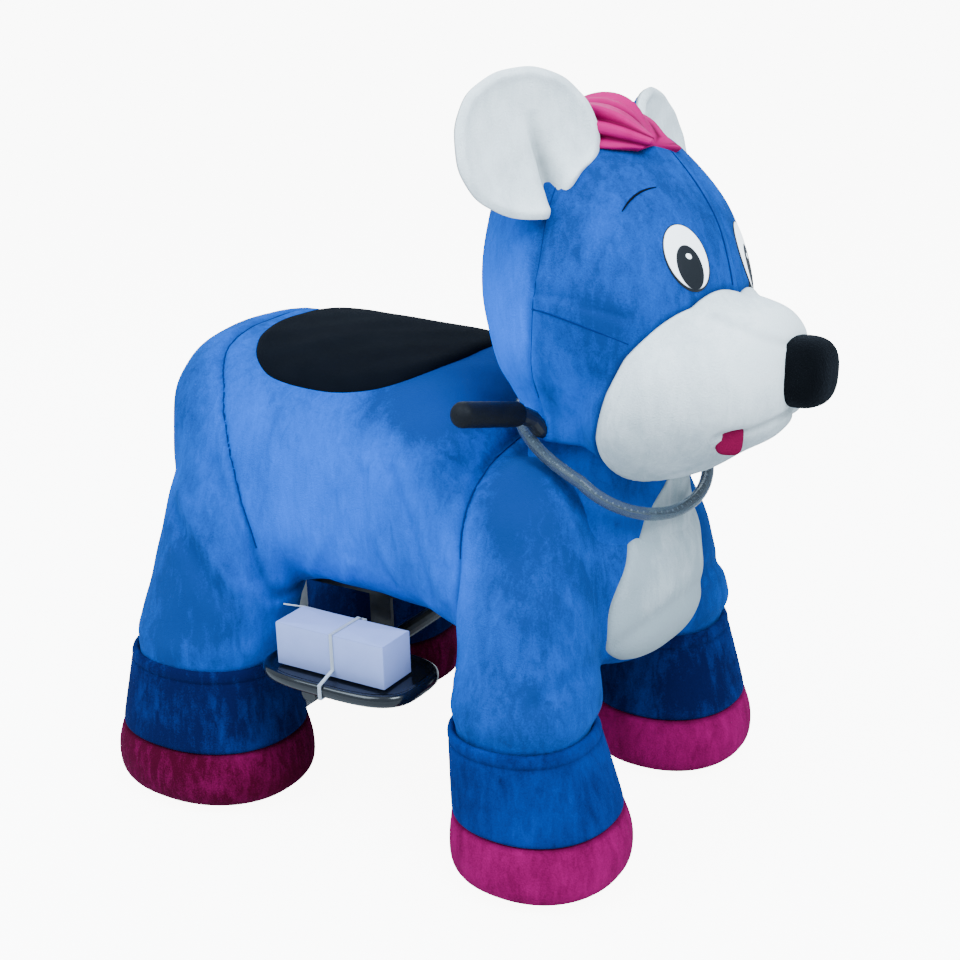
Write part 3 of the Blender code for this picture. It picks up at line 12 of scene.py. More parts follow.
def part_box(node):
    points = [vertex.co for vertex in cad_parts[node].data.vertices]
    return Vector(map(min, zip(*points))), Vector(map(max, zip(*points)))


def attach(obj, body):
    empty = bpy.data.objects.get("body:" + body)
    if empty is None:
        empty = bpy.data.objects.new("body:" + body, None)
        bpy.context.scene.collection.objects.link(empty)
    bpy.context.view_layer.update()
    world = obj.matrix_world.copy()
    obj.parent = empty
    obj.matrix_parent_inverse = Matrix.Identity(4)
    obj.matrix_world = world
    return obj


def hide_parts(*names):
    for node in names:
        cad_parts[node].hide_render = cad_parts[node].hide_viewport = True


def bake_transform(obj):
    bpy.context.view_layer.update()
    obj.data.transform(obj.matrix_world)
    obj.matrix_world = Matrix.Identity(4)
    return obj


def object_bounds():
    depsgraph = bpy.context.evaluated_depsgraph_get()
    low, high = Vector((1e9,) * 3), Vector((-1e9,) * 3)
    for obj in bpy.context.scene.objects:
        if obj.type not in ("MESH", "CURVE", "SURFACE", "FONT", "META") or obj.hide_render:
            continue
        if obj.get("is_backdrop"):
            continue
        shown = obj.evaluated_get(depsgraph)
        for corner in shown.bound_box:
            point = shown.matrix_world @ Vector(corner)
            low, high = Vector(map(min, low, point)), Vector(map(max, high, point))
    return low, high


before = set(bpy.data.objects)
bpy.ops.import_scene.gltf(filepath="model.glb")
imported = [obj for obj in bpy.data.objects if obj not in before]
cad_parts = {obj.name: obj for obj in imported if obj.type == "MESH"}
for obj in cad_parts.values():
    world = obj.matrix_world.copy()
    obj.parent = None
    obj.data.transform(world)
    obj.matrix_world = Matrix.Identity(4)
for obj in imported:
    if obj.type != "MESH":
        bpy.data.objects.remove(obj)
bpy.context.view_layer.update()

# The studio: a pale floor that runs off past the camera's view, a broad soft light from the upper left, a smaller one
# of the same power from the upper right, a weaker one behind, and the camera at the height of a standing adult's chest.
EYE_POINT, EYE_TURN = (1.0986, -1.7402, 1.1473), (122.4, 19.1, -1.77)
SKY, SKY_STRENGTH, FLOOR_GLOW, FLOOR_HALF = (0.80, 0.98, 1.14), 1.15, 9.0, 30


def in_scene(name, data):
    """Make an object of some data and link it to the scene."""
    item = bpy.data.objects.new(name, data)
    bpy.context.scene.collection.objects.link(item)
    return item


def feed(tree, node, inputs):
    """Give a node's sockets values or links, and return the node."""
    for key, value in inputs.items():
        if isinstance(value, bpy.types.NodeSocket):
            tree.links.new(value, node.inputs[key])
        else:
            node.inputs[key].default_value = value
    return node


def add(tree, kind, inputs=None, **settings):
    """Add a shader node, set its properties, and feed its sockets."""
    made = tree.nodes.new(kind)
    for key, value in settings.items():
        setattr(made, key, value)
    return feed(tree, made, inputs or {})


def worked(tree, operation, *values, **settings):
    """The result of a maths node: the operation done on the values."""
    return add(tree, "ShaderNodeMath", dict(enumerate(values)), operation=operation, **settings).outputs[0]


def mixed(tree, factor, low, high):
    """Low times one less the factor, plus high times the factor; each colour is a socket or red, green and blue."""
    low, high = ((*colour, 1) if isinstance(colour, tuple) else colour for colour in (low, high))
    return add(tree, "ShaderNodeMix", {"Factor": factor, 6: low, 7: high}, data_type="RGBA").outputs[2]


def new_material(name, colour, roughness, metallic=0.0, **constants):
    """Make a material with a Principled shader whose constant values sit on its own sockets."""
    material = bpy.data.materials.new(name)
    material.use_nodes = True
    material.diffuse_color = (*colour, 1.0)
    tree = material.node_tree
    constants.update(Base_Color=(*colour, 1.0), Roughness=roughness, Metallic=metallic)
    inputs = {key.replace("_", " "): value for key, value in constants.items()}
    return material, tree, feed(tree, tree.nodes["Principled BSDF"], inputs)


lens = bpy.data.cameras.new("camera")
lens.sensor_width = 36.0
lens.lens = 61.2
lens.clip_start = 0.05
camera = in_scene("camera", lens)
bpy.context.scene.camera = camera
turn, dip, roll = (math.radians(value) for value in EYE_TURN)
ahead = Vector((math.cos(turn) * math.cos(dip), math.sin(turn) * math.cos(dip), -math.sin(dip)))
level = ahead.cross(Vector((0, 0, 1))).normalized()
upright = level.cross(ahead)
across = math.cos(roll) * level + math.sin(roll) * upright
rise = -math.sin(roll) * level + math.cos(roll) * upright
camera.matrix_world = Matrix.Translation(EYE_POINT) @ Matrix((across, rise, -ahead)).transposed().to_4x4()

world = bpy.data.worlds.new("room")
world.use_nodes = True
feed(world.node_tree, world.node_tree.nodes["Background"], {"Color": (*SKY, 1.0), "Strength": SKY_STRENGTH})
bpy.context.scene.world = world
for label, spot, aim, size, power in (("window", (-1.2, -2.3, 2.9), (0, 0, 0.5), 2.2, 150.0),
                                      ("front", (2.0, -1.1, 3.0), (0.1, 0, 0.7), 1.5, 150.0),
                                      ("back", (-1.4, 2.4, 2.8), (0, 0, 0.5), 1.8, 45.0)):
    lamp = bpy.data.lights.new(label, "AREA")
    lamp.color = SKY
    lamp.size = size
    lamp.energy = power
    holder = in_scene(label, lamp)
    holder.location = spot
    holder.rotation_euler = (Vector(aim) - Vector(spot)).to_track_quat("-Z", "Y").to_euler()

floor_finish, tree, shader = new_material("pale floor", (0.60, 0.60, 0.60), 0.7, Emission_Color=(1.0, 0.99, 0.97, 1))
speck = add(tree, "ShaderNodeTexNoise", {"Scale": 3.0, "Detail": 4.0}).outputs["Fac"]
seen = add(tree, "ShaderNodeLightPath").outputs["Is Camera Ray"]
feed(tree, shader, {"Base Color": mixed(tree, speck, (0.58, 0.58, 0.58), (0.62, 0.62, 0.62)),
                    "Emission Strength": worked(tree, "MULTIPLY", seen, FLOOR_GLOW)})
floor_mesh = bpy.data.meshes.new("floor")
corners = [(sx * FLOOR_HALF, sy * FLOOR_HALF, 0) for sx, sy in ((-1, -1), (1, -1), (1, 1), (-1, 1))]
floor_mesh.from_pydata(corners, [], [(0, 1, 2, 3)])
floor_mesh.materials.append(floor_finish)
floor = in_scene("floor", floor_mesh)
floor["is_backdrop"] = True

# The welded frame: square and round steel tube in black enamel, hidden under the plush. Its axles, bearings and
# track rod are zinc-plated steel, and the motor's case and its controller's box are cast alloy.


def new_group(name, inputs, result):
    """Make a shader node group with number inputs, one number result and a normal."""
    tree = bpy.data.node_groups.new(name, "ShaderNodeTree")
    for label, value in inputs.items():
        socket = tree.interface.new_socket(label, in_out="INPUT", socket_type="NodeSocketFloat")
        socket.default_value = value
    for label, kind in ((result, "Float"), ("Normal", "Vector")):
        tree.interface.new_socket(label, in_out="OUTPUT", socket_type=f"NodeSocket{kind}")
    return tree, tree.nodes.new("NodeGroupInput").outputs, tree.nodes.new("NodeGroupOutput")


def stretched(tree, scale, turn=(0.0, 0.0, 0.0)):
    """The object's own coordinates, turned and then multiplied by a scale on each axis."""
    own = add(tree, "ShaderNodeTexCoord").outputs["Object"]
    return add(tree, "ShaderNodeMapping", {"Vector": own, "Scale": scale, "Rotation": turn}).outputs[0]


def noise(tree, scale, detail, distortion=0.0, vector=None):
    """A noise texture's value over the object's own coordinates, or over another vector."""
    vector = vector or add(tree, "ShaderNodeTexCoord").outputs["Object"]
    inputs = {"Vector": vector, "Scale": scale, "Detail": detail, "Distortion": distortion}
    return add(tree, "ShaderNodeTexNoise", inputs).outputs["Fac"]


def ranged(tree, value, low, high, to_low=0.0, to_high=1.0):
    """A value's share of the way from low to high, held between none and all, mapped to the other two values."""
    return add(tree, "ShaderNodeMapRange", {0: value, 1: low, 2: high, 3: to_low, 4: to_high}).outputs[0]


def bumped(tree, height, strength, distance):
    """The normal of a surface that a height raises by up to a distance."""
    inputs = {"Strength": strength, "Distance": distance, "Height": height}
    return add(tree, "ShaderNodeBump", inputs).outputs["Normal"]


GRAIN, wanted, last = new_group("surface grain", {"Scale": 300.0, "Depth": 0.2}, "Mask")
fine = noise(GRAIN, wanted["Scale"], 6.0)
feed(GRAIN, last, {"Mask": worked(GRAIN, "MULTIPLY", fine, noise(GRAIN, 22.0, 3.0)),
                   "Normal": bumped(GRAIN, fine, wanted["Depth"], 0.0006)})


def grained(name, colour, other, roughness, scale, depth, metallic=0.0, spread=0.12, **constants):
    """A hard finish whose colour and roughness wander between two values with the shared grain."""
    material, tree, shader = new_material(name, colour, roughness, metallic, **constants)
    grain = add(tree, "ShaderNodeGroup", {"Scale": scale, "Depth": depth}, node_tree=GRAIN)
    mask, low, high = grain.outputs["Mask"], 0.12, 0.42
    feed(tree, shader, {"Base Color": mixed(tree, ranged(tree, mask, low, high), colour, other),
                        "Roughness": ranged(tree, mask, low, high, roughness - spread, roughness + spread),
                        "Normal": grain.outputs["Normal"]})
    return material


enamel = grained("black enamel", (0.003, 0.003, 0.004), (0.008, 0.008, 0.009), 0.42, 260.0, 0.25, Coat_Weight=0.1)
zinc = grained("zinc-plated steel", (0.42, 0.43, 0.44), (0.55, 0.55, 0.53), 0.36, 420.0, 0.2, 1.0)
alloy = grained("cast alloy", (0.48, 0.49, 0.50), (0.60, 0.61, 0.62), 0.48, 240.0, 0.5, 1.0)
case_plastic = grained("black case", (0.016, 0.016, 0.018), (0.030, 0.030, 0.032), 0.5, 900.0, 0.35)
red_plastic = grained("red button", (0.50, 0.015, 0.015), (0.60, 0.03, 0.025), 0.38, 500.0, 0.15)
gloss_black = grained("gloss black", (0.002, 0.0025, 0.004), (0.004, 0.005, 0.008), 0.20, 35.0, 0.06, spread=0.05,
                      Coat_Weight=0.3, Coat_Roughness=0.08, Specular_IOR_Level=0.3)
plywood, tree, shader = new_material("plywood", (0.42, 0.28, 0.15), 0.62)
year_ring = noise(tree, 1.6, 6.0, 0.8, stretched(tree, (4.0, 60.0, 200.0)))
feed(tree, shader, {"Base Color": mixed(tree, year_ring, (0.30, 0.18, 0.085), (0.56, 0.39, 0.22))})
SIDES = (("right", -1), ("left", 1))


def finish(material, *names):
    """Give CAD nodes a material in place of their own."""
    for name in names:
        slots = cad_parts[name].data.materials
        slots.clear()
        slots.append(material)


finish(enamel, "front_yoke", "rear_yoke", "spine_rail", "lower_rail_right", "lower_rail_left", "footrest_bar",
       "fork_right", "fork_left", "steering_column", "handlebar")
finish(zinc, "axle_bearing_right", "axle_bearing_left", "rear_axle", "front_axle_right", "front_axle_left", "track_rod")
finish(alloy, "gearmotor", "motor_controller")
finish(case_plastic, "battery_pack", "switch_pod")
finish(plywood, "seat_board")
finish(gloss_black, "battery_shelf")
finish(red_plastic, "go_button")

# The wheels: solid rubber tyres with two shallow grooves, on moulded grey hubs with a dished web.
# The front pair turn in the steered forks, the rear pair are pressed on the driven axle.
FRONT_X, FRONT_Y, FRONT_RADIUS, FRONT_BORE = 0.188, 0.187, 0.070, 0.0054
REAR_X, REAR_Y, REAR_RADIUS, REAR_BORE = -0.336, 0.196, 0.075, 0.0083
WHEEL_HALF, TYRE_DEEP, NAVE_WALL = 0.018, 0.018, 0.011
# The tyre's tread from its side wall to its groove: how far out along the axle, and how far in from its radius.
TREAD = ((WHEEL_HALF, TYRE_DEEP), (WHEEL_HALF, 0.008), (0.0165, 0.004), (0.013, 0.0012), (0.0075, 0.0002),
         (0.0065, 0.0025), (0.0055, 0.0002))


def turns(count):
    """Angles spread evenly over one full turn."""
    return np.linspace(0, 2 * math.pi, count, endpoint=False)


def xyz(x, y, z):
    """Points with these coordinates, each spread over the shape of the others."""
    return np.stack(np.broadcast_arrays(x, y, z), -1)


def ring_faces(rows, columns, wrap_rows, wrap_columns):
    """Index the quads of a grid, row by row; each wrap joins the last row or column back to the first."""
    row = np.arange(rows if wrap_rows else rows - 1)[:, None]
    column = np.arange(columns if wrap_columns else columns - 1)[None, :]
    down, right = (row + 1) % rows, (column + 1) % columns
    quad = (row * columns + column, row * columns + right, down * columns + right, down * columns + column)
    return np.stack(quad, -1).reshape(-1, 4).tolist()


def hoop(grid):
    """A form, which is points and faces: a grid whose rows and columns both close on themselves."""
    return grid, ring_faces(*grid.shape[:2], True, True)


def turned(centre, profile, steps):
    """A closed profile of (along Y, radius) pairs turned about the Y axis: x = r cos t, z = r sin t."""
    along, radius = np.array(profile).T
    turn = turns(steps)[:, None]
    return hoop(xyz(radius * np.cos(turn), along, radius * np.sin(turn)) + np.array(centre))


def mirrored(half):
    """A closed profile from its half at y above zero: the half and its image in y, run back to where it starts."""
    image = [(-y, radius) for y, radius in half]
    return image[:1] + half + image[:0:-1]


def make_piece(name, form, material, body, nodes=(), sharp=60.0, painted_shade=None, lay_and_painted_light=None, printed=None):
    """Put a form into a smooth mesh that rides on a body and stands for CAD nodes.

    The shade value is painted shade in seams, folds and hollows, and the lay value is how far the pile is brushed to
    its light side together with painted light and shade: each is one number for all points, or a number for each, with
    zero for those at the end that have none. Printed is a flat place on a print.
    """
    points, faces = np.asarray(form[0], float).reshape(-1, 3), form[1]
    mesh = bpy.data.meshes.new(name)
    mesh.from_pydata(points.tolist(), [], faces)
    for label, kind, key, width, values in (("painted_shade", "FLOAT", "value", 1, painted_shade), ("lay_and_painted_light", "FLOAT", "value", 1, lay_and_painted_light),
                                            ("print", "FLOAT_VECTOR", "vector", 3, printed)):
        if values is not None:
            record = np.zeros(len(points) * width, np.float32)
            record[: np.size(values) if np.ndim(values) else None] = np.ravel(values)
            mesh.attributes.new(label, kind, "POINT").data.foreach_set(key, record)
    merged = bmesh.new()
    merged.from_mesh(mesh)
    bmesh.ops.remove_doubles(merged, verts=merged.verts, dist=0.00002)
    bmesh.ops.recalc_face_normals(merged, faces=merged.faces)
    merged.to_mesh(mesh)
    merged.free()
    mesh.shade_smooth()
    mesh.set_sharp_from_angle(angle=math.radians(sharp))
    mesh.materials.append(material)
    item = in_scene(name, mesh)
    if body:
        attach(item, body)
    if nodes:
        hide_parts(*nodes)
    return item


tyre_rubber = grained("tyre rubber", (0.012, 0.012, 0.013), (0.035, 0.034, 0.032), 0.78, 500.0, 0.5)
hub_plastic = grained("hub plastic", (0.22, 0.23, 0.24), (0.28, 0.29, 0.30), 0.45, 700.0, 0.2)
for end, x, y, radius, bore in (("front", FRONT_X, FRONT_Y, FRONT_RADIUS, FRONT_BORE),
                                ("rear", REAR_X, REAR_Y, REAR_RADIUS, REAR_BORE)):
    rim, nave = radius - TYRE_DEEP, bore + NAVE_WALL
    tread = mirrored([(out, radius - drop) for out, drop in TREAD])
    web = mirrored([(WHEEL_HALF, bore), (WHEEL_HALF, nave - 0.002), (0.016, nave), (0.006, nave + 0.003),
                    (0.005, nave + 0.006), (0.005, rim - 0.010), (0.008, rim - 0.005), (0.017, rim - 0.003),
                    (0.017, rim - 0.0003)])
    for word, side in SIDES:
        body = f"wheel_front_{word}" if end == "front" else "rear_axle_set"
        centre = (x, side * y, radius)
        make_piece(f"tyre_{end}_{word}", turned(centre, tread, 96), tyre_rubber, body, [f"{end}_tyre_{word}"],
                   35)
        make_piece(f"hub_{end}_{word}", turned(centre, web, 72), hub_plastic, body, [f"{end}_hub_{word}"],
                   35)

# The footrests: two glossy black moulded plates with a rolled rim and a shallow tray, clipped on one cross bar.
# The tray's floor lies under the rim, so that the rim holds the shoe.
FOOT_X, FOOT_Y, FOOT_HALF, FOOT_TOP, FOOT_LOW = -0.074, 0.2195, (0.116, 0.0695), 0.239, 0.222
TRAY = FOOT_TOP - 0.0026
# Rings of the plate from under it round the rim into the tray: how far past its half sizes, and the height.
FOOT_RINGS = ((-0.030, FOOT_LOW), (-0.008, FOOT_LOW), (-0.003, FOOT_LOW + 0.001), (-0.0006, FOOT_LOW + 0.004),
              (0.0, FOOT_LOW + 0.008), (0.0, FOOT_TOP - 0.006), (-0.0012, FOOT_TOP - 0.002), (-0.004, FOOT_TOP),
              (-0.007, FOOT_TOP - 0.0004), (-0.010, FOOT_TOP - 0.0022), (-0.014, TRAY), (-0.030, TRAY), (-0.060, TRAY))


def oval(power, count):
    """A rounded oval with half sizes of one: cos and sin of the turn, to 2 over the power with their signs kept."""
    c, s = np.cos(turns(count)), np.sin(turns(count))
    return np.sign(c) * np.abs(c) ** (2 / power), np.sign(s) * np.abs(s) ** (2 / power)


def closed_grid(grid):
    """A form of rings, closed with a point at each end, the mean of its first and of its last ring."""
    rows, columns = grid.shape[:2]
    points = np.vstack([grid.reshape(-1, 3), grid[0].mean(0), grid[-1].mean(0)])
    faces = ring_faces(rows, columns, False, True)
    step = np.arange(columns)
    for pole, row in ((rows * columns, 0), (rows * columns + 1, rows - 1)):
        spokes = (np.full(columns, pole), row * columns + step, row * columns + (step + 1) % columns)
        faces += np.stack(spokes, -1).tolist()
    return points, faces


a, b = oval(3.4, 96)
grow, z = np.array(FOOT_RINGS).T[..., None]
for word, side in SIDES:
    grid = xyz(FOOT_X + (FOOT_HALF[0] + grow) * a, side * FOOT_Y + (FOOT_HALF[1] + grow) * b, z)
    make_piece(f"foot_plate_{word}", closed_grid(grid), gloss_black, "chassis", [f"footrest_{word}"], 50)

# The body: blue short-pile plush over foam, one skin for trunk and legs. It is sewn from a rump, two side panels and
# two shoulders, so seams run over the back behind the seat and down in front of it, and the pile lies in patches;
# painted light and shade lie over those patches, and painted shade in the seams and folds.
TRUNK_BACK = 0.074
# The trunk from tail to chest: place along it from a point this far behind the frame's origin, half width, top, foot.
TRUNK = (
    (-0.351, 0.040, 0.480, 0.445), (-0.348, 0.080, 0.505, 0.420), (-0.344, 0.125, 0.572, 0.370),
    (-0.322, 0.165, 0.609, 0.335), (-0.274, 0.192, 0.623, 0.308), (-0.190, 0.206, 0.621, 0.296),
    (-0.080, 0.210, 0.616, 0.292), (0.020, 0.210, 0.611, 0.290), (0.085, 0.210, 0.598, 0.285),
    (0.122, 0.209, 0.577, 0.272), (0.152, 0.207, 0.542, 0.262), (0.182, 0.205, 0.518, 0.256),
    (0.220, 0.200, 0.498, 0.250), (0.256, 0.182, 0.484, 0.248), (0.296, 0.154, 0.466, 0.246),
    (0.330, 0.118, 0.446, 0.250), (0.352, 0.084, 0.424, 0.266), (0.366, 0.054, 0.398, 0.296),
    (0.368, 0.030, 0.370, 0.322))
# The legs from the boot up: height, centre ahead of the wheel's, centre's distance from the middle, two half sizes.
FRONT_LEG = (
    (0.186, -0.020, 0.192, 0.083, 0.083), (0.2023, -0.020, 0.192, 0.084, 0.084), (0.245, -0.015, 0.190, 0.090, 0.089),
    (0.300, -0.021, 0.176, 0.084, 0.080), (0.360, -0.028, 0.162, 0.085, 0.080), (0.420, -0.034, 0.142, 0.078, 0.068),
    (0.470, -0.038, 0.134, 0.070, 0.060), (0.505, -0.040, 0.125, 0.050, 0.042), (0.520, -0.040, 0.120, 0.028, 0.024))
REAR_LEG = (
    (0.186, 0.008, 0.192, 0.107, 0.091), (0.2023, 0.008, 0.192, 0.109, 0.093), (0.250, 0.018, 0.187, 0.110, 0.092),
    (0.310, 0.030, 0.178, 0.109, 0.088), (0.380, 0.040, 0.166, 0.102, 0.080), (0.450, 0.046, 0.150, 0.096, 0.072),
    (0.510, 0.050, 0.137, 0.084, 0.060), (0.550, 0.052, 0.128, 0.062, 0.042), (0.568, 0.052, 0.124, 0.034, 0.024))
# Seams and folds seen from the side: the line, its width, its depth or, below zero, its swell, and how dark the
# shade painted in it is.
RUMP_SEAM = ((-0.352, 0.640), (-0.333, 0.610), (-0.295, 0.573), (-0.273, 0.527), (-0.247, 0.456), (-0.225, 0.397),
             (-0.206, 0.329), (-0.200, 0.300))
SHOULDER_SEAM = ((0.104, 0.600), (0.090, 0.545), (0.094, 0.513), (0.093, 0.470), (0.091, 0.433), (0.088, 0.350),
                 (0.086, 0.270))
BODY_FOLDS = (
    (RUMP_SEAM, 0.0045, 0.0042, 0.85),
    (SHOULDER_SEAM, 0.0045, 0.0042, 0.85),
    (((0.007, 0.514), (0.043, 0.441), (0.066, 0.353)), 0.0075, -0.0034, 0.0),
    (((-0.008, 0.512), (0.029, 0.436), (0.050, 0.350)), 0.0060, 0.0024, 0.25),
    (((-0.033, 0.509), (-0.031, 0.422), (0.006, 0.346)), 0.0080, -0.0026, 0.0),
    (((-0.045, 0.500), (-0.044, 0.422), (-0.010, 0.350)), 0.0060, 0.0018, 0.18),
    (((-0.001, 0.553), (0.021, 0.512), (0.051, 0.455), (0.075, 0.408)), 0.0070, -0.0026, 0.0),
    (((-0.075, 0.452), (-0.125, 0.381), (-0.165, 0.325)), 0.0065, -0.0022, 0.0),
    (((-0.077, 0.372), (-0.100, 0.335)), 0.0060, -0.0022, 0.0),
    (((-0.286, 0.479), (-0.241, 0.411), (-0.212, 0.335)), 0.0130, 0.0044, 0.30),
    (((-0.339, 0.433), (-0.278, 0.375), (-0.232, 0.322)), 0.0095, -0.0042, 0.0),
    (((-0.345, 0.405), (-0.292, 0.352), (-0.250, 0.310)), 0.0100, 0.0032, 0.22),
    (((0.300, 0.330), (0.262, 0.300), (0.225, 0.270)), 0.0090, 0.0030, 0.15))
# Patches of brushed pile with painted light and shade, seen from the side: centre x and z, half width, half height,
# and how much lighter, below zero darker.
BRUSHED_AND_LIT = (
    (-0.13, 0.43, 0.14, 0.15, 0.46), (0.02, 0.59, 0.09, 0.045, -0.62), (0.05, 0.40, 0.05, 0.10, 0.26),
    (-0.40, 0.50, 0.06, 0.12, -0.05), (-0.24, 0.55, 0.05, 0.05, 0.08), (-0.14, 0.33, 0.10, 0.04, 0.24),
    (0.20, 0.42, 0.06, 0.05, -0.06), (-0.26, 0.33, 0.09, 0.08, -0.34), (-0.36, 0.26, 0.12, 0.07, -0.22),
    (0.15, 0.50, 0.07, 0.06, -0.40), (0.10, 0.36, 0.03, 0.10, 0.22), (0.24, 0.34, 0.07, 0.12, -0.10),
    (0.18, 0.24, 0.10, 0.04, -0.16))

PILE, wanted, last = new_group("pile", {"Patch": 13.0, "Depth": 0.5}, "Shade")
patch = noise(PILE, wanted["Patch"], 2.0, 0.5, stretched(PILE, (1.0, 1.0, 0.62), (0.25, 0.3, 0.0)))
stroke = noise(PILE, 95.0, 4.0, 0.8, stretched(PILE, (1.0, 1.0, 0.30), (0.15, 0.1, 0.0)))
fibre = noise(PILE, 520.0, 3.0, 0.4)
shade = worked(PILE, "MULTIPLY", patch, 0.62)
shade = worked(PILE, "MULTIPLY_ADD", stroke, 0.42, shade)
shade = worked(PILE, "MULTIPLY_ADD", fibre, 0.34, shade)
feed(PILE, last, {"Shade": ranged(PILE, shade, 0.46, 0.92),
                  "Normal": bumped(PILE, worked(PILE, "MULTIPLY_ADD", stroke, 0.7, fibre), wanted["Depth"], 0.0022)})


def plush(name, dark, light, patch=13.0, depth=0.5, sheen=0.1, tint=(1, 1, 1), painted_shade=0.6, level=-0.03):
    """Short pile: two shades by its lay and painted light, painted shade in seams and folds, soft sheen at the edges.
    """
    material, tree, shader = new_material(name, light, 0.92, Sheen_Weight=sheen, Sheen_Roughness=0.45,
                                          Sheen_Tint=(*tint, 1), Specular_IOR_Level=0.03)
    pile = add(tree, "ShaderNodeGroup", {"Patch": patch, "Depth": depth}, node_tree=PILE)
    crease, lay_and_painted_light = (add(tree, "ShaderNodeAttribute", attribute_name=label).outputs["Fac"] for label in ("painted_shade", "lay_and_painted_light"))
    # The lay attribute lightens or darkens the pile: partly how it is brushed, partly painted light and shade.
    tone = worked(tree, "MULTIPLY_ADD", pile.outputs["Shade"], 0.50, lay_and_painted_light)
    tone = worked(tree, "ADD", tone, level, use_clamp=True)
    # Painted shade: seams, folds and hollows are darkened towards a third of the dark colour.
    painted_shade_colour = tuple(value * 0.35 for value in dark)
    lit = mixed(tree, tone, dark, light)
    feed(tree, shader, {"Base Color": mixed(tree, worked(tree, "MULTIPLY", crease, painted_shade), lit, painted_shade_colour),
                        "Normal": pile.outputs["Normal"]})
    return material


def smooth_table(table, count):
    """Read a Catmull-Rom curve through a table's rows: each stretch is a cubic set by the four rows round it."""
    rows = np.array(table, float)
    padded = np.vstack([2 * rows[0] - rows[1], rows, 2 * rows[-1] - rows[-2]])
    value = np.linspace(0, len(rows) - 1, count)
    start = np.minimum(value.astype(int), len(rows) - 2)
    t = (value - start)[:, None]
    a, b, c, d = (padded[start + k] for k in range(4))
    return 0.5 * (2 * b + (c - a) * t + (2 * a - 5 * b + 4 * c - d) * t**2 + (3 * b - a - 3 * c + d) * t**3)


def trunk_grid(stations=110, sides=110):
    """Rings across the body: at each station along X a rounded oval of its half width and height, fuller below."""
    x, wide, top, foot = smooth_table(TRUNK, stations).T[..., None]
    a, b = oval(2.7, sides)
    b = np.where(b < 0, -np.abs(b) ** 0.8, b)
    return xyz(x - TRUNK_BACK, wide * a, (top + foot) / 2 + (top - foot) / 2 * b)


def leg_grid(table, wheel_x, side, stations=60, sides=72):
    """Rings up a leg: at each height a rounded oval about a centre that leans in towards the body."""
    z, ahead, out, half_x, half_y = smooth_table(table, stations).T[..., None]
    a, b = oval(2.2, sides)
    return xyz(wheel_x + ahead + half_x * a, side * out + half_y * b, z)


def joined(forms):
    """Forms made one: their points in a row, and each one's faces counted on from where its points start."""
    points, faces, start = [], [], 0
    for part, sides in forms:
        points.append(part.reshape(-1, 3))
        faces += [[corner + start for corner in side] for side in sides]
        start += len(points[-1])
    return np.vstack(points), faces


def melted(forms, voxel, passes):
    """One skin for closed forms: a remesh in small cubes, its steps relaxed. Gives points, normals and faces."""
    raw = make_piece("raw skin", joined(forms), new_material("raw", (1, 1, 1), 1)[0], None)
    remesh = raw.modifiers.new("join", "REMESH")
    remesh.mode = "VOXEL"
    remesh.voxel_size = voxel
    relax = raw.modifiers.new("relax", "SMOOTH")
    relax.factor = 0.5
    relax.iterations = passes
    final = raw.evaluated_get(bpy.context.evaluated_depsgraph_get())
    mesh = final.to_mesh()
    points, normals = np.empty((2, len(mesh.vertices) * 3))
    mesh.vertices.foreach_get("co", points)
    mesh.vertex_normals.foreach_get("vector", normals)
    faces = [tuple(side.vertices) for side in mesh.polygons]
    final.to_mesh_clear()
    bpy.data.objects.remove(raw)
    return points.reshape(-1, 3), normals.reshape(-1, 3), faces


def bell(offset, width):
    """A Gauss curve: e to the power of minus the square of the offset over the width."""
    return np.exp(-((offset / width) ** 2))


def off_line(points, line):
    """Shortest distance in a plane from each point to a line of straight stretches."""
    line = np.array(line)
    best = np.full(points.shape[:-1], 9.0)
    for start, end in zip(line[:-1], line[1:]):
        way = end - start
        t = np.clip(((points - start) @ way) / (way @ way), 0, 1)
        best = np.minimum(best, np.linalg.norm(points - start - t[..., None] * way, axis=-1))
    return best


def pressed(points, folds):
    """Folds' depth and painted shade at points: each is a bell along a line, less a low bell of swell beside it."""
    depth, shade = np.zeros((2, *points.shape[:-1]))
    for line, width, drop, dark in folds:
        off = off_line(points[..., (0, 2)], line)
        depth += drop * (bell(off, width) - 0.35 * bell(off - 2.4 * width, 1.5 * width))
        shade = np.maximum(shade, dark * bell(off, 0.75 * width))
    return depth, shade


def brushed_and_lit(points, patches):
    """How much lighter pile and painted light make points: the sum of each gain times its bells over x and z."""
    x, z = points[..., 0], points[..., 2]
    return sum(gain * bell(x - at, wide) * bell(z - height, tall) for at, height, wide, tall, gain in patches)


blue_plush = plush("blue plush", (0.0050, 0.033, 0.165), (0.0010, 0.143, 0.84), tint=(0.02, 0.35, 1))
limbs = [leg_grid(table, x, side) for table, x in ((FRONT_LEG, FRONT_X), (REAR_LEG, REAR_X)) for word, side in SIDES]
voxel, passes = ((0.0055, 38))
points, normals, faces = melted([closed_grid(grid) for grid in (trunk_grid(), *limbs)], voxel, passes)
# The seams and folds are pressed in and painted darker: painted shade.
depth, shade = pressed(points, BODY_FOLDS)
points = points - normals * depth[:, None]
swell = 0.0030 * bell(points[:, 2] - 0.232, 0.016) - 0.0012 * bell(points[:, 2] - 0.205, 0.010)
points = points + normals * swell[:, None]
# Painted shade in a narrow ring where the legs go into the cuffs.
shade = np.maximum(shade, 0.8 * bell(points[:, 2] - 0.200, 0.006))
x, y, z = points.T
wave = 0.0016 * np.sin(31 * x + 17 * z + 3) * np.sin(23 * z - 11 * y)
wave += 0.0008 * np.sin(74 * x - 41 * y) * np.sin(66 * z + 29 * y + 1)
points = points + normals * wave[:, None]
skin_tree = BVHTree.FromPolygons(points.tolist(), faces)
# The skin's brushed patches carry painted light and shade besides the pile's own lay.
skin = make_piece("plush_body", (points, faces), blue_plush, None, sharp=180, painted_shade=shade, lay_and_painted_light=brushed_and_lit(points, BRUSHED_AND_LIT))


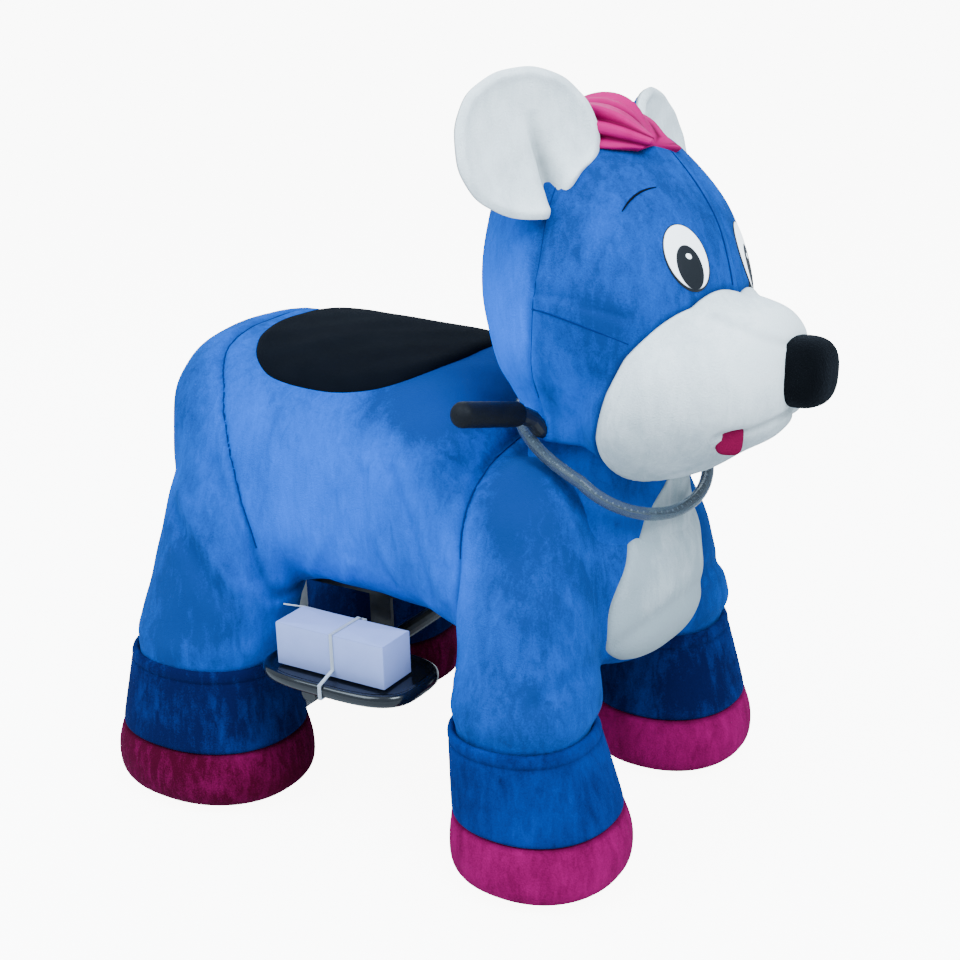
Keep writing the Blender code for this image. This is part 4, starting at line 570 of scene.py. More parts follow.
def carve(item, blocks):
    """Cut upright prisms, each an outline of (x, y) corners with its low and high end, from a skin."""
    for number, (outline, low, high) in enumerate(blocks):
        count = len(outline)
        prism = np.vstack([np.column_stack([outline, np.full(count, z)]) for z in (low, high)])
        faces = [tuple(range(count - 1, -1, -1)), tuple(range(count, 2 * count))] + ring_faces(2, count, False, True)
        cut = item.modifiers.new(f"cut {number}", "BOOLEAN")
        cut.object = make_piece(f"cutter {number}", (prism, faces), item.data.materials[0], None)
        cut.operation = "DIFFERENCE"
        cut.solver = "MANIFOLD"
    bpy.context.view_layer.update()
    cutters = [cut.object for cut in item.modifiers]
    final = bpy.data.meshes.new_from_object(item.evaluated_get(bpy.context.evaluated_depsgraph_get()))
    item.modifiers.clear()
    item.data = final
    for cutter in cutters:
        bpy.data.objects.remove(cutter)


def block(low_x, high_x, half_y):
    """Corners of a block's outline, the same to both sides of the middle."""
    return np.array(((low_x, -half_y), (high_x, -half_y), (high_x, half_y), (low_x, half_y)))


def shaft(x, y, radius, steps=40):
    """Corners of a round outline: the centre plus the radius times the cosine and sine of the turn."""
    return np.stack([x + radius * np.cos(turns(steps)), y + radius * np.sin(turns(steps))], -1)


# Room in the foam: for the rails and the drive, for the track rod, for the front yoke's beam and the rear yoke's, and
# for the column and the spine rail's front end. Then on each side for the fork's tube, for its arm as it swings, and
# for the rear yoke's post.
BODY_CUTS = [(block(-0.366, 0.026, 0.135), 0.10, 0.5703), (block(0.006, 0.222, 0.125), 0.10, 0.3988),
             (block(0.110, 0.2183, 0.1707), 0.2623, 0.3768), (block(-0.367, -0.306, 0.170), 0.14, 0.323),
             (block(0.162, 0.222, 0.026), 0.3688, 0.60), (block(0.006, 0.188, 0.023), 0.3688, 0.473)]
swing = np.radians((32, 16, 0, -16, -32))
arm_tip = np.column_stack([-0.075 * np.cos(swing), 0.075 * np.sin(swing)])
arm_sweep = np.vstack([(0.031, 0), (0, 0.0285), arm_tip, (0, -0.0285)])
for word, side in SIDES:
    BODY_CUTS.append((shaft(FRONT_X, side * FRONT_Y, 0.040), 0.1, 0.350))
    BODY_CUTS.append((arm_sweep * (1, side) + (FRONT_X, side * FRONT_Y), 0.3374, 0.3753))
    BODY_CUTS.append((shaft(REAR_X, side * 0.150, 0.034), 0.1, 0.315))
carve(skin, BODY_CUTS)
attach(skin, "chassis")
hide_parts("torso", "leg_front_right", "leg_front_left", "leg_rear_right", "leg_rear_left")

# The body's seam threads: a dark blue twist lying in each valley where two panels of plush are sewn together.
# One runs over the rump from flank to flank, and one down each shoulder in front of the saddle.
SEAM_RADIUS = 0.0010
seam_thread = grained("seam thread", (0.0010, 0.012, 0.085), (0.0020, 0.020, 0.130), 0.8, 900.0, 0.4,
                      Specular_IOR_Level=0.05)


def unit(way):
    """Vectors cut to a length of one: each over its own length."""
    return way / np.linalg.norm(way, axis=-1, keepdims=True)


def tube(route, wide, sides, tall=None, closed=False):
    """Ovals square to a line of points, wide times cos and tall times sin of the turn; a closed line has them level."""
    route = np.asarray(route, float)
    way = unit(np.roll(route, -1, 0) - np.roll(route, 1, 0) if closed else np.gradient(route, axis=0))
    flank = unit(np.cross(way, (0, 0, 1.0) if closed else (0.31, 0.3, 0.9)))
    other = np.cross(way, flank)
    tall = wide if tall is None else tall
    wide, tall = (np.broadcast_to(half, len(route))[:, None, None] for half in (wide, tall))
    turn = turns(sides)[:, None]
    return route[:, None] + wide * np.cos(turn) * flank[:, None] + tall * np.sin(turn) * other[:, None]


def sewn_round(name, tree, line, centre_z, tilts, body):
    """A seam's thread over a skin: rays square to X at each tilt, sent in where the seam's (x, z) line meets it."""
    line = np.array(line)[np.argsort(np.array(line)[:, 1])]
    route, x = [], line[0, 0]
    for tilt in tilts:
        way = Vector((0, -math.sin(tilt), math.cos(tilt)))
        for step in range(4):
            spot, normal = tree.ray_cast(Vector((x, 0, centre_z)) + way * 0.6, -way)[:2]
            x = x if spot is None else float(np.interp(spot.z, line[:, 1], line[:, 0]))
        if spot is not None:
            route.append(spot + normal * 0.0006)
    make_piece(name, closed_grid(tube(smooth_table(route, 4 * len(route)), SEAM_RADIUS, 8)), seam_thread, body)


for label, line, start, end, count in (("rump", RUMP_SEAM, -112, 112, 90),
                                       ("shoulder_right", SHOULDER_SEAM, 28, 104, 34),
                                       ("shoulder_left", SHOULDER_SEAM, -28, -104, 34)):
    sewn_round(f"seam_{label}", skin_tree, line, 0.46, np.radians(np.linspace(start, end, count)), "chassis")

# The saddle: a flat oval pad of foam in matt black knitted cloth, let into the back, with a rolled edge.
# It sits on the plywood board under the plush.
SADDLE_X, SADDLE_HALF, SADDLE_PAD, SADDLE_DEEP = -0.160, (0.147, 0.160), 0.009, 0.005


def landed(points, target, axis):
    """Slide points down an axis onto a skin with a Shrinkwrap, and return where they land."""
    mesh = bpy.data.meshes.new("cast")
    mesh.from_pydata(points.reshape(-1, 3).tolist(), [], [])
    cast = in_scene("cast", mesh)
    wrap = cast.modifiers.new("wrap", "SHRINKWRAP")
    wrap.wrap_method = "PROJECT"
    wrap.target = target
    setattr(wrap, f"use_project_{axis}", True)
    wrap.use_negative_direction = True
    wrap.use_positive_direction = False
    final = cast.evaluated_get(bpy.context.evaluated_depsgraph_get())
    result = np.empty(points.size)
    final.data.vertices.foreach_get("co", result)
    bpy.data.objects.remove(cast)
    return result.reshape(points.shape)


def held(value):
    """A value cut off at zero and at one."""
    return np.clip(value, 0, 1)


cloth_black, tree, shader = new_material("saddle cloth", (0.003, 0.004, 0.006), 0.95, Sheen_Weight=0.01,
                                         Sheen_Roughness=0.5, Specular_IOR_Level=0.02)
own = add(tree, "ShaderNodeTexCoord").outputs["Object"]
knit, purl = (add(tree, "ShaderNodeTexWave", {"Vector": own, "Scale": scale, "Distortion": 0.6}, bands_direction=axis)
              for axis, scale in (("X", 420.0), ("Y", 300.0)))
loops = worked(tree, "MULTIPLY", knit.outputs["Fac"], purl.outputs["Fac"])
lint = mixed(tree, noise(tree, 30.0, 5.0), (0.0018, 0.0024, 0.0040), (0.0036, 0.0046, 0.0075))
feed(tree, shader, {"Normal": bumped(tree, loops, 0.35, 0.0006), "Base Color": lint})

a, b = oval(2.6, 120)
share = np.concatenate([np.linspace(0.03, 0.90, 26), [0.93, 0.955, 0.975, 0.99, 1.0]])[:, None]
base = landed(xyz(SADDLE_X + SADDLE_HALF[0] * share * a, SADDLE_HALF[1] * share * b, 0.9), skin, "z")
lift = SADDLE_PAD * held(1 - held((share - 0.90) / 0.10) ** 2.2) ** 0.5 + 0.0008
pad = closed_grid(np.concatenate([base + (0, 0, 1) * lift[:, :, None], base[::-1] - (0, 0, SADDLE_DEEP)]))
saddle = make_piece("saddle", pad, cloth_black, "chassis", ["seat_cushion"], 70)

# The boots: a royal-blue cuff over a magenta hoof, both short plush on a stiff liner, hollow for the wheel.
# A stitched hem turns in the cuff's top, and a seam joins cuff and hoof.
# A boot from the floor up: height, share of its half sizes, and share of its lean.
BOOT = ((0.008, 0.88, 0.0), (0.014, 0.94, 0.0), (0.030, 1.00, 0.0), (0.060, 1.00, 0.0), (0.091, 0.955, 0.15),
        (0.150, 0.878, 0.60), (0.202, 0.828, 1.0), (0.212, 0.822, 1.0))
BOOT_SEAM, HEM = 0.0905, 0.1893
# Both shells, closed round their wall from the outside in: how far out of the boot's form, and height. Between the
# single rows the wall bulges softly.
HOOF = np.vstack([
    ((-0.016, 0.0090), (-0.010, 0.0080), (-0.004, 0.0095), (-0.0005, 0.0130), (0.0015, 0.0170)),
    [(0.0022 + 0.0012 * math.sin(math.pi * (z - 0.022) / 0.064), z) for z in np.linspace(0.022, 0.086, 16)],
    ((0.0008, 0.0885), (-0.0025, 0.0908), (-0.010, 0.0908), (-0.0185, 0.0900), (-0.0195, 0.060), (-0.0195, 0.020))])
CUFF = np.vstack([
    ((-0.0185, 0.0912), (-0.0025, 0.0912), (0.0008, 0.0935), (0.0018, 0.0975)),
    [(0.0022 + 0.0008 * math.sin(math.pi * (z - 0.10) / 0.08), z) for z in np.linspace(0.102, 0.184, 18)],
    ((0.0016, 0.1880), (0.0000, 0.1895), (0.0014, 0.1912), (0.0022, 0.1950), (0.0022, 0.1995), (0.0012, 0.2035),
     (-0.0012, 0.2058), (-0.0040, 0.2052), (-0.0060, 0.2030), (-0.0090, 0.1980), (-0.0170, 0.1880), (-0.0190, 0.150))])
# Each end's wheel, half sizes, lean, and the painted light on the right and left hoof and cuff, below zero painted
# shade.
BOOTS = (("front", FRONT_X, FRONT_Y, (0.109, 0.109), (-0.019, 0.005), (0.15, 0.15), (0.10, -0.12)),
         ("rear", REAR_X, REAR_Y, (0.138, 0.115), (0.006, -0.004), (-0.17, -0.17), (-0.20, -0.20)))
royal_plush = plush("royal plush", (0.0020, 0.0045, 0.040), (0.0040, 0.060, 0.380), 16.0, 0.4, 0.08, (0.05, 0.2, 1))
pink_plush = plush("magenta plush", (0.050, 0.0006, 0.010), (0.480, 0.0030, 0.165), 16.0, 0.4, 0.08, (1, 0.02, 0.4))


def table_at(table, at):
    """A table's other columns, read between its rows at values of its first one."""
    return [np.interp(at, table[:, 0], table[:, k]) for k in range(1, table.shape[1])]


def boot_grid(x, y, side, half, lean, rings):
    """Rings round a boot: at each height the table's share of the half sizes, plus how far out, and of the lean."""
    out, z = rings.T[..., None]
    share, shift = table_at(smooth_table(BOOT, 60), z)
    a, b = oval(2.2, 96)
    return xyz(x + lean[0] * shift + (half[0] * share + out) * a,
               side * (y + lean[1] * shift) + (half[1] * share + out) * b, z)


for end, x, y, half, lean, hoof_painted_lights, cuff_painted_lights in BOOTS:
    for (word, side), hoof_painted_light, cuff_painted_light in zip(SIDES, hoof_painted_lights, cuff_painted_lights):
        for part, rings, plush_kind, slot, lay_and_painted_light in (("hoof", HOOF, pink_plush, "pink plush", hoof_painted_light),
                                                   ("cuff", CUFF, royal_plush, "dark plush", cuff_painted_light)):
            grid = boot_grid(x, y, side, half, lean, rings)
            z = grid[..., 2]
            # Painted shade in the seam between hoof and cuff and under the hem; each shell also takes its painted light
            # from the table.
            shade = np.maximum(0.9 * bell(z - BOOT_SEAM, 0.003), 0.4 * bell(z - HEM, 0.0022))
            shell = make_piece(f"{part}_{end}_{word}", hoop(grid), plush_kind, None, sharp=180, painted_shade=shade, lay_and_painted_light=lay_and_painted_light)
            if end == "rear":
                notch = block(x - 0.0217, x + 0.0223, 0.038) + (0, side * (y - half[1] * 0.8 - 0.015))
                carve(shell, [(notch, -0.02, 0.0977)])
            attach(shell, "chassis")
            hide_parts(f"boot_{end}_{word}")

# The bib: a white plush panel sewn into the chest from the collar down between the front legs.
# Its edges are pulled down into the seam round it.
# Its height above the floor and its half width, from the collar down.
BIB = ((0.455, 0.068), (0.427, 0.086), (0.400, 0.102), (0.373, 0.116), (0.340, 0.125), (0.309, 0.127), (0.285, 0.118),
       (0.268, 0.098), (0.262, 0.076))
BIB_DEEP = 0.006
white_plush = plush("white plush", (0.34, 0.39, 0.41), (0.93, 0.95, 0.93), 18.0, 0.55, 0.1, painted_shade=0.75)


def pad_between(outer, inner):
    """A form of two equal sheets of points with walls from rim to rim."""
    rows, columns = outer.shape[:2]
    sheet = ring_faces(rows, columns, False, False)
    points, faces = joined([(outer, sheet), (inner, sheet)])
    rim = np.concatenate([np.arange(columns), np.arange(1, rows) * columns + columns - 1,
                          (rows - 1) * columns + np.arange(columns - 2, -1, -1), np.arange(rows - 2, 0, -1) * columns])
    after, count = np.roll(rim, -1), rows * columns
    return points, faces + np.stack([rim, after, after + count, rim + count], -1).tolist()


down, across = np.linspace(0, 1, 90)[:, None], np.linspace(-1, 1, 90)
z, half = smooth_table(BIB, 90).T[..., None]
rounded = 0.90 + 0.10 * held(1 - np.abs(down * 2 - 1) ** 9) ** 0.35
base = landed(xyz(0.45, half * rounded * across, z), skin, "x")
edge = np.maximum(np.abs(across), np.abs(down * 2 - 1))
lift = 0.0062 * held((1 - edge) / 0.10) ** 0.5 - 0.0022
outer = base + (1.0, 0, 0.1) * lift[:, :, None]
form = pad_between(outer, base - (BIB_DEEP, 0, 0))
# Painted shade at the panel's edges in its seam and towards its foot, and the whole panel painted darker, more so lower
# down, as shade under the head.
shade = np.maximum(bell(1 - edge, 0.035), 0.30 * held((0.345 - outer[..., 2]) / 0.07))
lay_and_painted_light = -0.14 - 0.22 * held((0.36 - form[0][:, 2]) / 0.08)
bib = make_piece("chest_panel", form, white_plush, "chassis", ["chest_bib"], 180,
                 np.append(shade, np.ones(edge.size)), lay_and_painted_light)

# The neck: a loose tube of blue plush between the shoulders and the head.
# It bunches in a few upright gathers where it is sewn to the shoulders, and the bib's white runs up its front.
# From the shoulders up: height, half length, half width, and how far its front tips down.
NECK = ((0.425, 0.108, 0.142, 28.0), (0.440, 0.108, 0.140, 26.0), (0.475, 0.100, 0.128, 16.0),
        (0.505, 0.098, 0.113, 7.0), (0.532, 0.097, 0.100, 0.0), (0.552, 0.094, 0.096, 0.0))


def neck_at(turn, rings=60):
    """The neck at angles round it from its front: cos and sin of the turn times the half sizes and its gathers."""
    z, half_x, half_y, tip = smooth_table(NECK, rings).T[..., None]
    fall = np.linspace(0, 1, rings)[:, None]
    gather = 1 + 0.014 * np.sin(9 * turn + 2 * np.sin(3 * turn)) * np.sin(math.pi * fall)
    gather = gather + 0.010 * np.sin(26 * fall + 2 * np.sin(2 * turn))
    x, tip = half_x * np.cos(turn) * gather, np.radians(tip)
    return xyz(FRONT_X + x * np.cos(tip), half_y * np.sin(turn) * gather, z - x * np.sin(tip))


neck = make_piece("neck_skin", closed_grid(neck_at(turns(160))), blue_plush, None, ["neck"], 180)
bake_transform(neck)
across = np.linspace(-1, 1, 53)
reach = np.radians(np.interp(smooth_table(NECK, 60)[:, :1], (0.430, 0.470, 0.510), (39, 32, 12)))
sheet = neck_at(reach * across)[:50]
outward = unit((sheet - (FRONT_X, 0, 0)) * (1, 1, 0))
edge = np.maximum(np.abs(across), np.linspace(-1, 1, 50)[:, None])
lift = 0.0044 * held((1 - edge) / 0.14) ** 0.5 - 0.0016
form = pad_between(sheet + outward * lift[..., None], sheet - outward * 0.006)
# Painted shade at the panel's edges, and the whole panel painted darker as shade under the head.
throat = make_piece("throat_panel", form, white_plush, None, (), 180,
                    np.append(bell(1 - edge, 0.05), np.ones(edge.size)), -0.14)
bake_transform(throat)

# The controls: rubber grips with a rounded end and fine rings on a bent steel bar. The grips come out through the
# cheeks' lower edge, and the left one has a switch pod with a red button beside it.
BAR_ELBOW, BAR_END, BAR_HOLE = np.array((0.148, 0.150, 0.587)), np.array((0.134, 0.260, 0.614)), 0.0116
GRIP_RADIUS, GRIP_RINGS, RING_DEEP, POD_LENGTH = 0.0155, 12, 0.00025, 0.0276
grip_rubber = grained("grip rubber", (0.0008, 0.0011, 0.0026), (0.0020, 0.0026, 0.0050), 0.6, 620.0, 0.3,
                      Specular_IOR_Level=0.16)
way = unit(BAR_END - BAR_ELBOW)
flank = unit(np.cross(way, (0, 0, 1.0)))
turn = turns(48)[:, None, None]
ring = np.cos(turn) * flank + np.sin(turn) * np.cross(flank, way)
for word, side in SIDES:
    start = BAR_ELBOW + way * (POD_LENGTH if side > 0 else 0.0)
    length = np.linalg.norm(BAR_END - start)
    steps = np.arange(1, GRIP_RINGS + 1)
    rings = np.column_stack([0.012 + (length - 0.020) * steps / GRIP_RINGS, GRIP_RADIUS - RING_DEEP * (steps % 2)])
    run, radius = np.vstack([
        ((0.004, BAR_HOLE), (0.004, 0.0138), (0.005, 0.0147), (0.008, 0.0153), (0.012, GRIP_RADIUS)), rings,
        ((length - 0.0035, 0.0151), (length - 0.0005, 0.0138), (length + 0.0022, 0.0114), (length + 0.0040, 0.0080),
         (length + 0.0049, 0.0040), (length + 0.0051, 0.0006), (length + 0.0006, 0.0006), (length + 0.0006, BAR_HOLE)),
    ]).T[..., None]
    grid = (start + run * way + radius * ring) * (1, side, 1)
    make_piece(f"grip_rubber_{word}", hoop(grid), grip_rubber, "steering", [f"grip_{word}"], 40)

# The head: blue plush over foam, round and leaning a little to the animal's left, with a seam over the crown from
# ear to ear, one down the forehead and one along each cheek. The white muzzle is sewn on over the lower face.
LEAN, PIVOT = math.radians(-9.0), np.array((FRONT_X, 0, 0.690))
# The skull from the neck up: height, how far ahead of the column, half length and half width.
SKULL = smooth_table((
    (0.524, 0.006, 0.092, 0.095), (0.560, 0.006, 0.100, 0.103), (0.585, 0.008, 0.116, 0.119),
    (0.612, 0.010, 0.135, 0.138), (0.650, 0.014, 0.151, 0.155), (0.700, 0.013, 0.160, 0.166),
    (0.760, 0.005, 0.154, 0.163), (0.820, -0.005, 0.136, 0.145), (0.868, -0.016, 0.106, 0.113),
    (0.898, -0.020, 0.070, 0.076), (0.910, -0.020, 0.030, 0.032)), 200)
# The snout from the column forward: how far ahead, height of its middle, half width and half height.
SNOUT = smooth_table((
    (0.020, 0.570, 0.090, 0.052), (0.045, 0.577, 0.124, 0.080), (0.090, 0.592, 0.141, 0.102),
    (0.140, 0.611, 0.136, 0.103), (0.185, 0.626, 0.117, 0.090), (0.220, 0.634, 0.089, 0.074),
    (0.243, 0.637, 0.054, 0.050), (0.250, 0.637, 0.022, 0.022)), 200)
MELT = 0.012
HEART = np.array((FRONT_X + 0.050, 0.0, 0.622))


def leaned(points, lean=LEAN):
    """Turn points about an axis along X through the head's pivot: y and z by the cos and sin of the lean."""
    c, s = math.cos(lean), math.sin(lean)
    x, y, z = np.moveaxis(np.asarray(points, float) - PIVOT, -1, 0)
    return np.stack([x, c * y - s * z, s * y + c * z], -1) + PIVOT


def head_depth(p):
    """How far points lie outside the upright head, below zero inside: skull and snout melted together, neck room cut.

    Each form is the rounded oval's own measure less one, times its lesser half size. A smooth least of the two joins
    them, and the greater of that and the neck's room turned inside out cuts the room away.
    """
    x, y, z = p[..., 0] - FRONT_X, p[..., 1], p[..., 2]
    shift, half_x, half_y = table_at(SKULL, z)
    skull = (np.abs((x - shift) / half_x) ** 2.15 + np.abs(y / half_y) ** 2.15) ** (1 / 2.15) - 1
    skull = np.maximum(skull * np.minimum(half_x, half_y), np.maximum(0.530 - z, z - 0.911))
    middle, half_y, half_z = table_at(SNOUT, x)
    snout = (np.abs(y / half_y) ** 2.1 + np.abs((z - middle) / half_z) ** 2.1) ** (1 / 2.1) - 1
    snout = np.maximum(snout * np.minimum(half_y, half_z), np.maximum(0.010 - x, x - 0.2505))
    h = held(0.5 + 0.5 * (snout - skull) / MELT)
    melt = snout * (1 - h) + skull * h - MELT * h * (1 - h)
    x, y, z = np.moveaxis(leaned(p), -1, 0)
    bore = np.interp(z, (0.44, 0.475, 0.505, 0.538), (0.150, 0.135, 0.120, 0.108))
    return np.maximum(melt, -np.maximum(np.hypot(x - FRONT_X, y) - bore, z - 0.5365))


def face_out(rays, lift=0.0):
    """Where rays from the head's heart leave its skin, found by halving; lift moves the point further along the ray."""
    rays = unit(rays)
    low, high = np.zeros(rays.shape[:-1]), np.full(rays.shape[:-1], 0.45)
    for step in range(34):
        middle = (low + high) / 2
        inside = head_depth(HEART + rays * middle[..., None]) < 0
        low, high = np.where(inside, middle, low), np.where(inside, high, middle)
    return HEART + rays * (low + lift)[..., None]


def fan(theta, phi):
    """Directions at an angle theta from straight ahead and phi round it, from the crown towards the animal's right."""
    return xyz(np.cos(theta), -np.sin(theta) * np.sin(phi), np.sin(theta) * np.cos(phi))


# The edge where the muzzle is sewn on, from between the eyes down the right cheek to the chin.
SEAM = leaned(((0.353, -0.001, 0.717), (0.334, -0.082, 0.717), (0.301, -0.126, 0.691), (0.279, -0.137, 0.666),
               (0.260, -0.144, 0.625), (0.244, -0.142, 0.568), (0.239, -0.119, 0.540), (0.236, -0.060, 0.515),
               (0.236, 0.0, 0.510)), -LEAN) - HEART
seam_theta = np.arctan2(np.hypot(SEAM[:, 1], SEAM[:, 2]), SEAM[:, 0])
seam_phi = np.arctan2(-SEAM[:, 1], SEAM[:, 2])
seam_phi[-1], seam_phi[0] = math.pi, 0.0
order = np.argsort(seam_phi)


def seam_at(phi):
    """The muzzle seam's angle from straight ahead, the same on both sides of the face."""
    phi = np.abs((phi + math.pi) % (2 * math.pi) - math.pi)
    return np.interp(phi, seam_phi[order], seam_theta[order])


HEAD_FOLDS = (
    (((0.186, 0.900), (0.182, 0.830), (0.180, 0.775), (0.171, 0.690), (0.160, 0.629), (0.158, 0.560)),
     0.0042, 0.0026, 0.45),
    (((0.176, 0.716), (0.214, 0.712), (0.246, 0.706), (0.285, 0.694)), 0.0045, 0.0028, 0.5))
columns, rows = ((200, 110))
phi = turns(columns)
edge = seam_at(phi)
theta = np.clip(edge * 0.90 + (math.pi - edge * 0.90) * np.linspace(0, 1, rows)[:, None], 0.02, math.pi - 0.02)
rays = fan(theta, phi)
face = face_out(rays, -0.006 * held((edge + 0.02 - theta) / 0.05))
x, y, z = np.moveaxis(face, -1, 0)
# Painted shade in the seams, down the middle of the face and round the muzzle's edge.
depth, shade = pressed(face, HEAD_FOLDS)
front = x > FRONT_X + 0.02
depth += 0.0018 * bell(y, 0.0040) * front
shade = np.maximum(shade, 0.25 * bell(y, 0.003) * front)
shade = np.maximum(shade, 0.8 * bell(theta - edge, 0.025))
wave = 0.0014 * np.sin(37 * x + 19 * z + 1) * np.sin(29 * z - 31 * y)
points, faces = closed_grid(leaned(face + rays * (wave - depth)[..., None]))
# Painted light on the back of the head and low on the cheeks, and painted shade higher on the face; partly the pile's
# lay.
lay_and_painted_light = 0.78 * held((0.178 - points[:, 0]) / 0.02) * held((0.84 - points[:, 2]) / 0.16) - 0.08
lay_and_painted_light += brushed_and_lit(points, ((0.215, 0.605, 0.035, 0.040, 0.34), (0.235, 0.715, 0.045, 0.030, -0.16)))
head = make_piece("head_skin", (points, faces), blue_plush, "steering", ["head"], 180, shade, lay_and_painted_light)

CROWN_SEAM = ((0.162, 0.629), (0.158, 0.580), (0.171, 0.690), (0.180, 0.775), (0.179, 0.819), (0.184, 0.900))
sewn_round("seam_crown", BVHTree.FromPolygons(points.tolist(), faces), CROWN_SEAM, 0.70,
           np.radians(np.linspace(-128, 128, 70)), "steering")
CHEEK_SEAM = leaned(((0.172, -0.166, 0.722), (0.195, -0.162, 0.716), (0.246, -0.155, 0.701), (0.285, -0.136, 0.683)),
                    -LEAN)
FOREHEAD_SEAM = leaned(((0.262, 0.010, 0.862), (0.309, 0.004, 0.828), (0.328, 0.002, 0.793), (0.340, -0.004, 0.761),
                        (0.350, -0.010, 0.728)), -LEAN)


def face_stitch(name, line, lift, radius, sides, material):
    """A thread sewn on the face: a tube along a smooth line through points, each moved out to the skin."""
    route = face_out(smooth_table(line, 40) - HEART, lift)
    make_piece(name, closed_grid(leaned(tube(route, radius, sides))), material, "steering")


for label, line in (("cheek_right", CHEEK_SEAM), ("cheek_left", CHEEK_SEAM * (1, -1, 1)), ("forehead", FOREHEAD_SEAM)):
    face_stitch(f"seam_{label}", line, 0.0004, SEAM_RADIUS, 8, seam_thread)

# The muzzle: white plush over foam, cut as two cheeks with a seam along each side of the nose.
# It bulges at its edge, where it is sewn down on the blue, and has a soft chin.
NOSE_SEAM = ((0.366, 0.700), (0.400, 0.690), (0.436, 0.672))
LIP = ((0.004, 0.596), (0.030, 0.583), (0.058, 0.570), (0.082, 0.566))
share = np.concatenate([np.linspace(0.02, 0.93, 80), 1 - 0.07 * np.linspace(1, 0, 12) ** 1.6])[:, None]
rays = fan(edge * share, phi)
inward = held((1 - share) / 0.085)
lift = 0.0035 * np.sqrt(held(1 - (1 - inward) ** 2)) - 0.0045 * (1 - inward) ** 3 + 0.003 * bell(share - 0.86, 0.09)
outer, inner = face_out(rays, lift), face_out(rays, -0.010)[::-1]
x, y, z = np.moveaxis(outer, -1, 0)
beside = np.abs(y)
cheek_seam = bell(off_line(outer[..., (0, 2)], NOSE_SEAM), 0.0045) * (beside > 0.02)
mouth = bell(off_line(np.stack([beside, z], -1), LIP), 0.0060) * (x > 0.34)
chin = bell(beside, 0.050) * bell(z - 0.556, 0.016) * (x > 0.30)
wave = 0.0012 * np.sin(33 * x + 21 * y) * np.sin(41 * z + 13 * y + 2)
outer = outer + rays * (wave - 0.0022 * cheek_seam - 0.0060 * mouth + 0.0030 * chin)[..., None]
form = closed_grid(leaned(np.concatenate([outer, inner])))
# Painted shade round the muzzle's edge, in the cheek seams and the mouth, and painted light on its top and towards its
# tip.
shade = np.maximum(0.9 * bell(1 - share, 0.012), np.maximum(0.22 * cheek_seam, 0.30 * mouth))
lay_and_painted_light = 0.62 * held((form[0][:, 2] - 0.560) / 0.09) + 0.30 * held((form[0][:, 0] - 0.36) / 0.06) - 0.06
muzzle = make_piece("muzzle_skin", form, white_plush, "steering", ["muzzle"], 180,
                    np.append(shade, np.ones(inner[..., 0].size)), lay_and_painted_light)

# The nose: a knob of black plush stuffed with foam, square with rounded corners, sewn on the muzzle's tip.
# Its pile is brushed up, so it shows a little lighter than the saddle's cloth.
black_plush = plush("black plush", (0.0012, 0.0014, 0.0018), (0.0042, 0.0048, 0.0062), 30.0, 0.9, 0.03,
                    (0.7, 0.8, 1), level=0.19)


def egg(centre, half, power, rows=60, columns=80):
    """A closed rounded block: an oval's rings whose size and height follow the sine and cosine of the climb."""
    climb = np.linspace(0.03, math.pi - 0.03, rows)[:, None]
    wide = np.sin(climb) ** (2 / power)
    high = -np.sign(np.cos(climb)) * np.abs(np.cos(climb)) ** (2 / power)
    a, b = oval(power, columns)
    return xyz(wide * a, wide * b, high) * half + np.array(centre)


knob = closed_grid(leaned(egg((FRONT_X + 0.257, 0.001, 0.639), (0.036, 0.045, 0.042), 2.7)))
nose = make_piece("nose_knob", knob, black_plush, "steering", ["nose"], 180)

# The tongue: a small tab of pink felt, sewn in at the mouth's right corner under the nose.
# Its outer half shows below the muzzle's lower edge.
pink_felt = plush("pink felt", (0.15, 0.0025, 0.030), (0.22, 0.0040, 0.045), 40.0, 0.5, 0.03, (1, 0.05, 0.4),
                  level=0.19)
facing = np.array(Vector((0.5, -0.75, -0.1)).to_track_quat("X", "Z").to_matrix())
grid = egg((0, 0, 0), (0.0062, 0.0160, 0.0190), 3.4, 36, 60) @ facing.T + np.array((FRONT_X + 0.200, -0.066, 0.560))
make_piece("tongue_tab", closed_grid(leaned(grid)), pink_felt, "steering", ["tongue"], 180)

# The eyes: printed ovals of white cloth with a thin black line, a black pupil at the lower rim and a small highlight,
# glued on the face. The print follows each oval's own flat coordinates.
EYE_YAW, EYE_HEIGHT, EYE_HALF = {"right": 31.0, "left": 18.5}, 0.764, (0.0305, 0.050)
WHITE, INK = (0.90, 0.92, 0.94), (0.004, 0.005, 0.007)
# The print glows with its own colour: painted light that makes its white brighter, while its black stays dark.
printed, tree, shader = new_material("glowing printed eye", (0.86, 0.88, 0.90), 0.5, Emission_Strength=1.6,
                                     Specular_IOR_Level=0.2)
flat_map = add(tree, "ShaderNodeAttribute", attribute_name="print").outputs["Vector"]
colour = INK
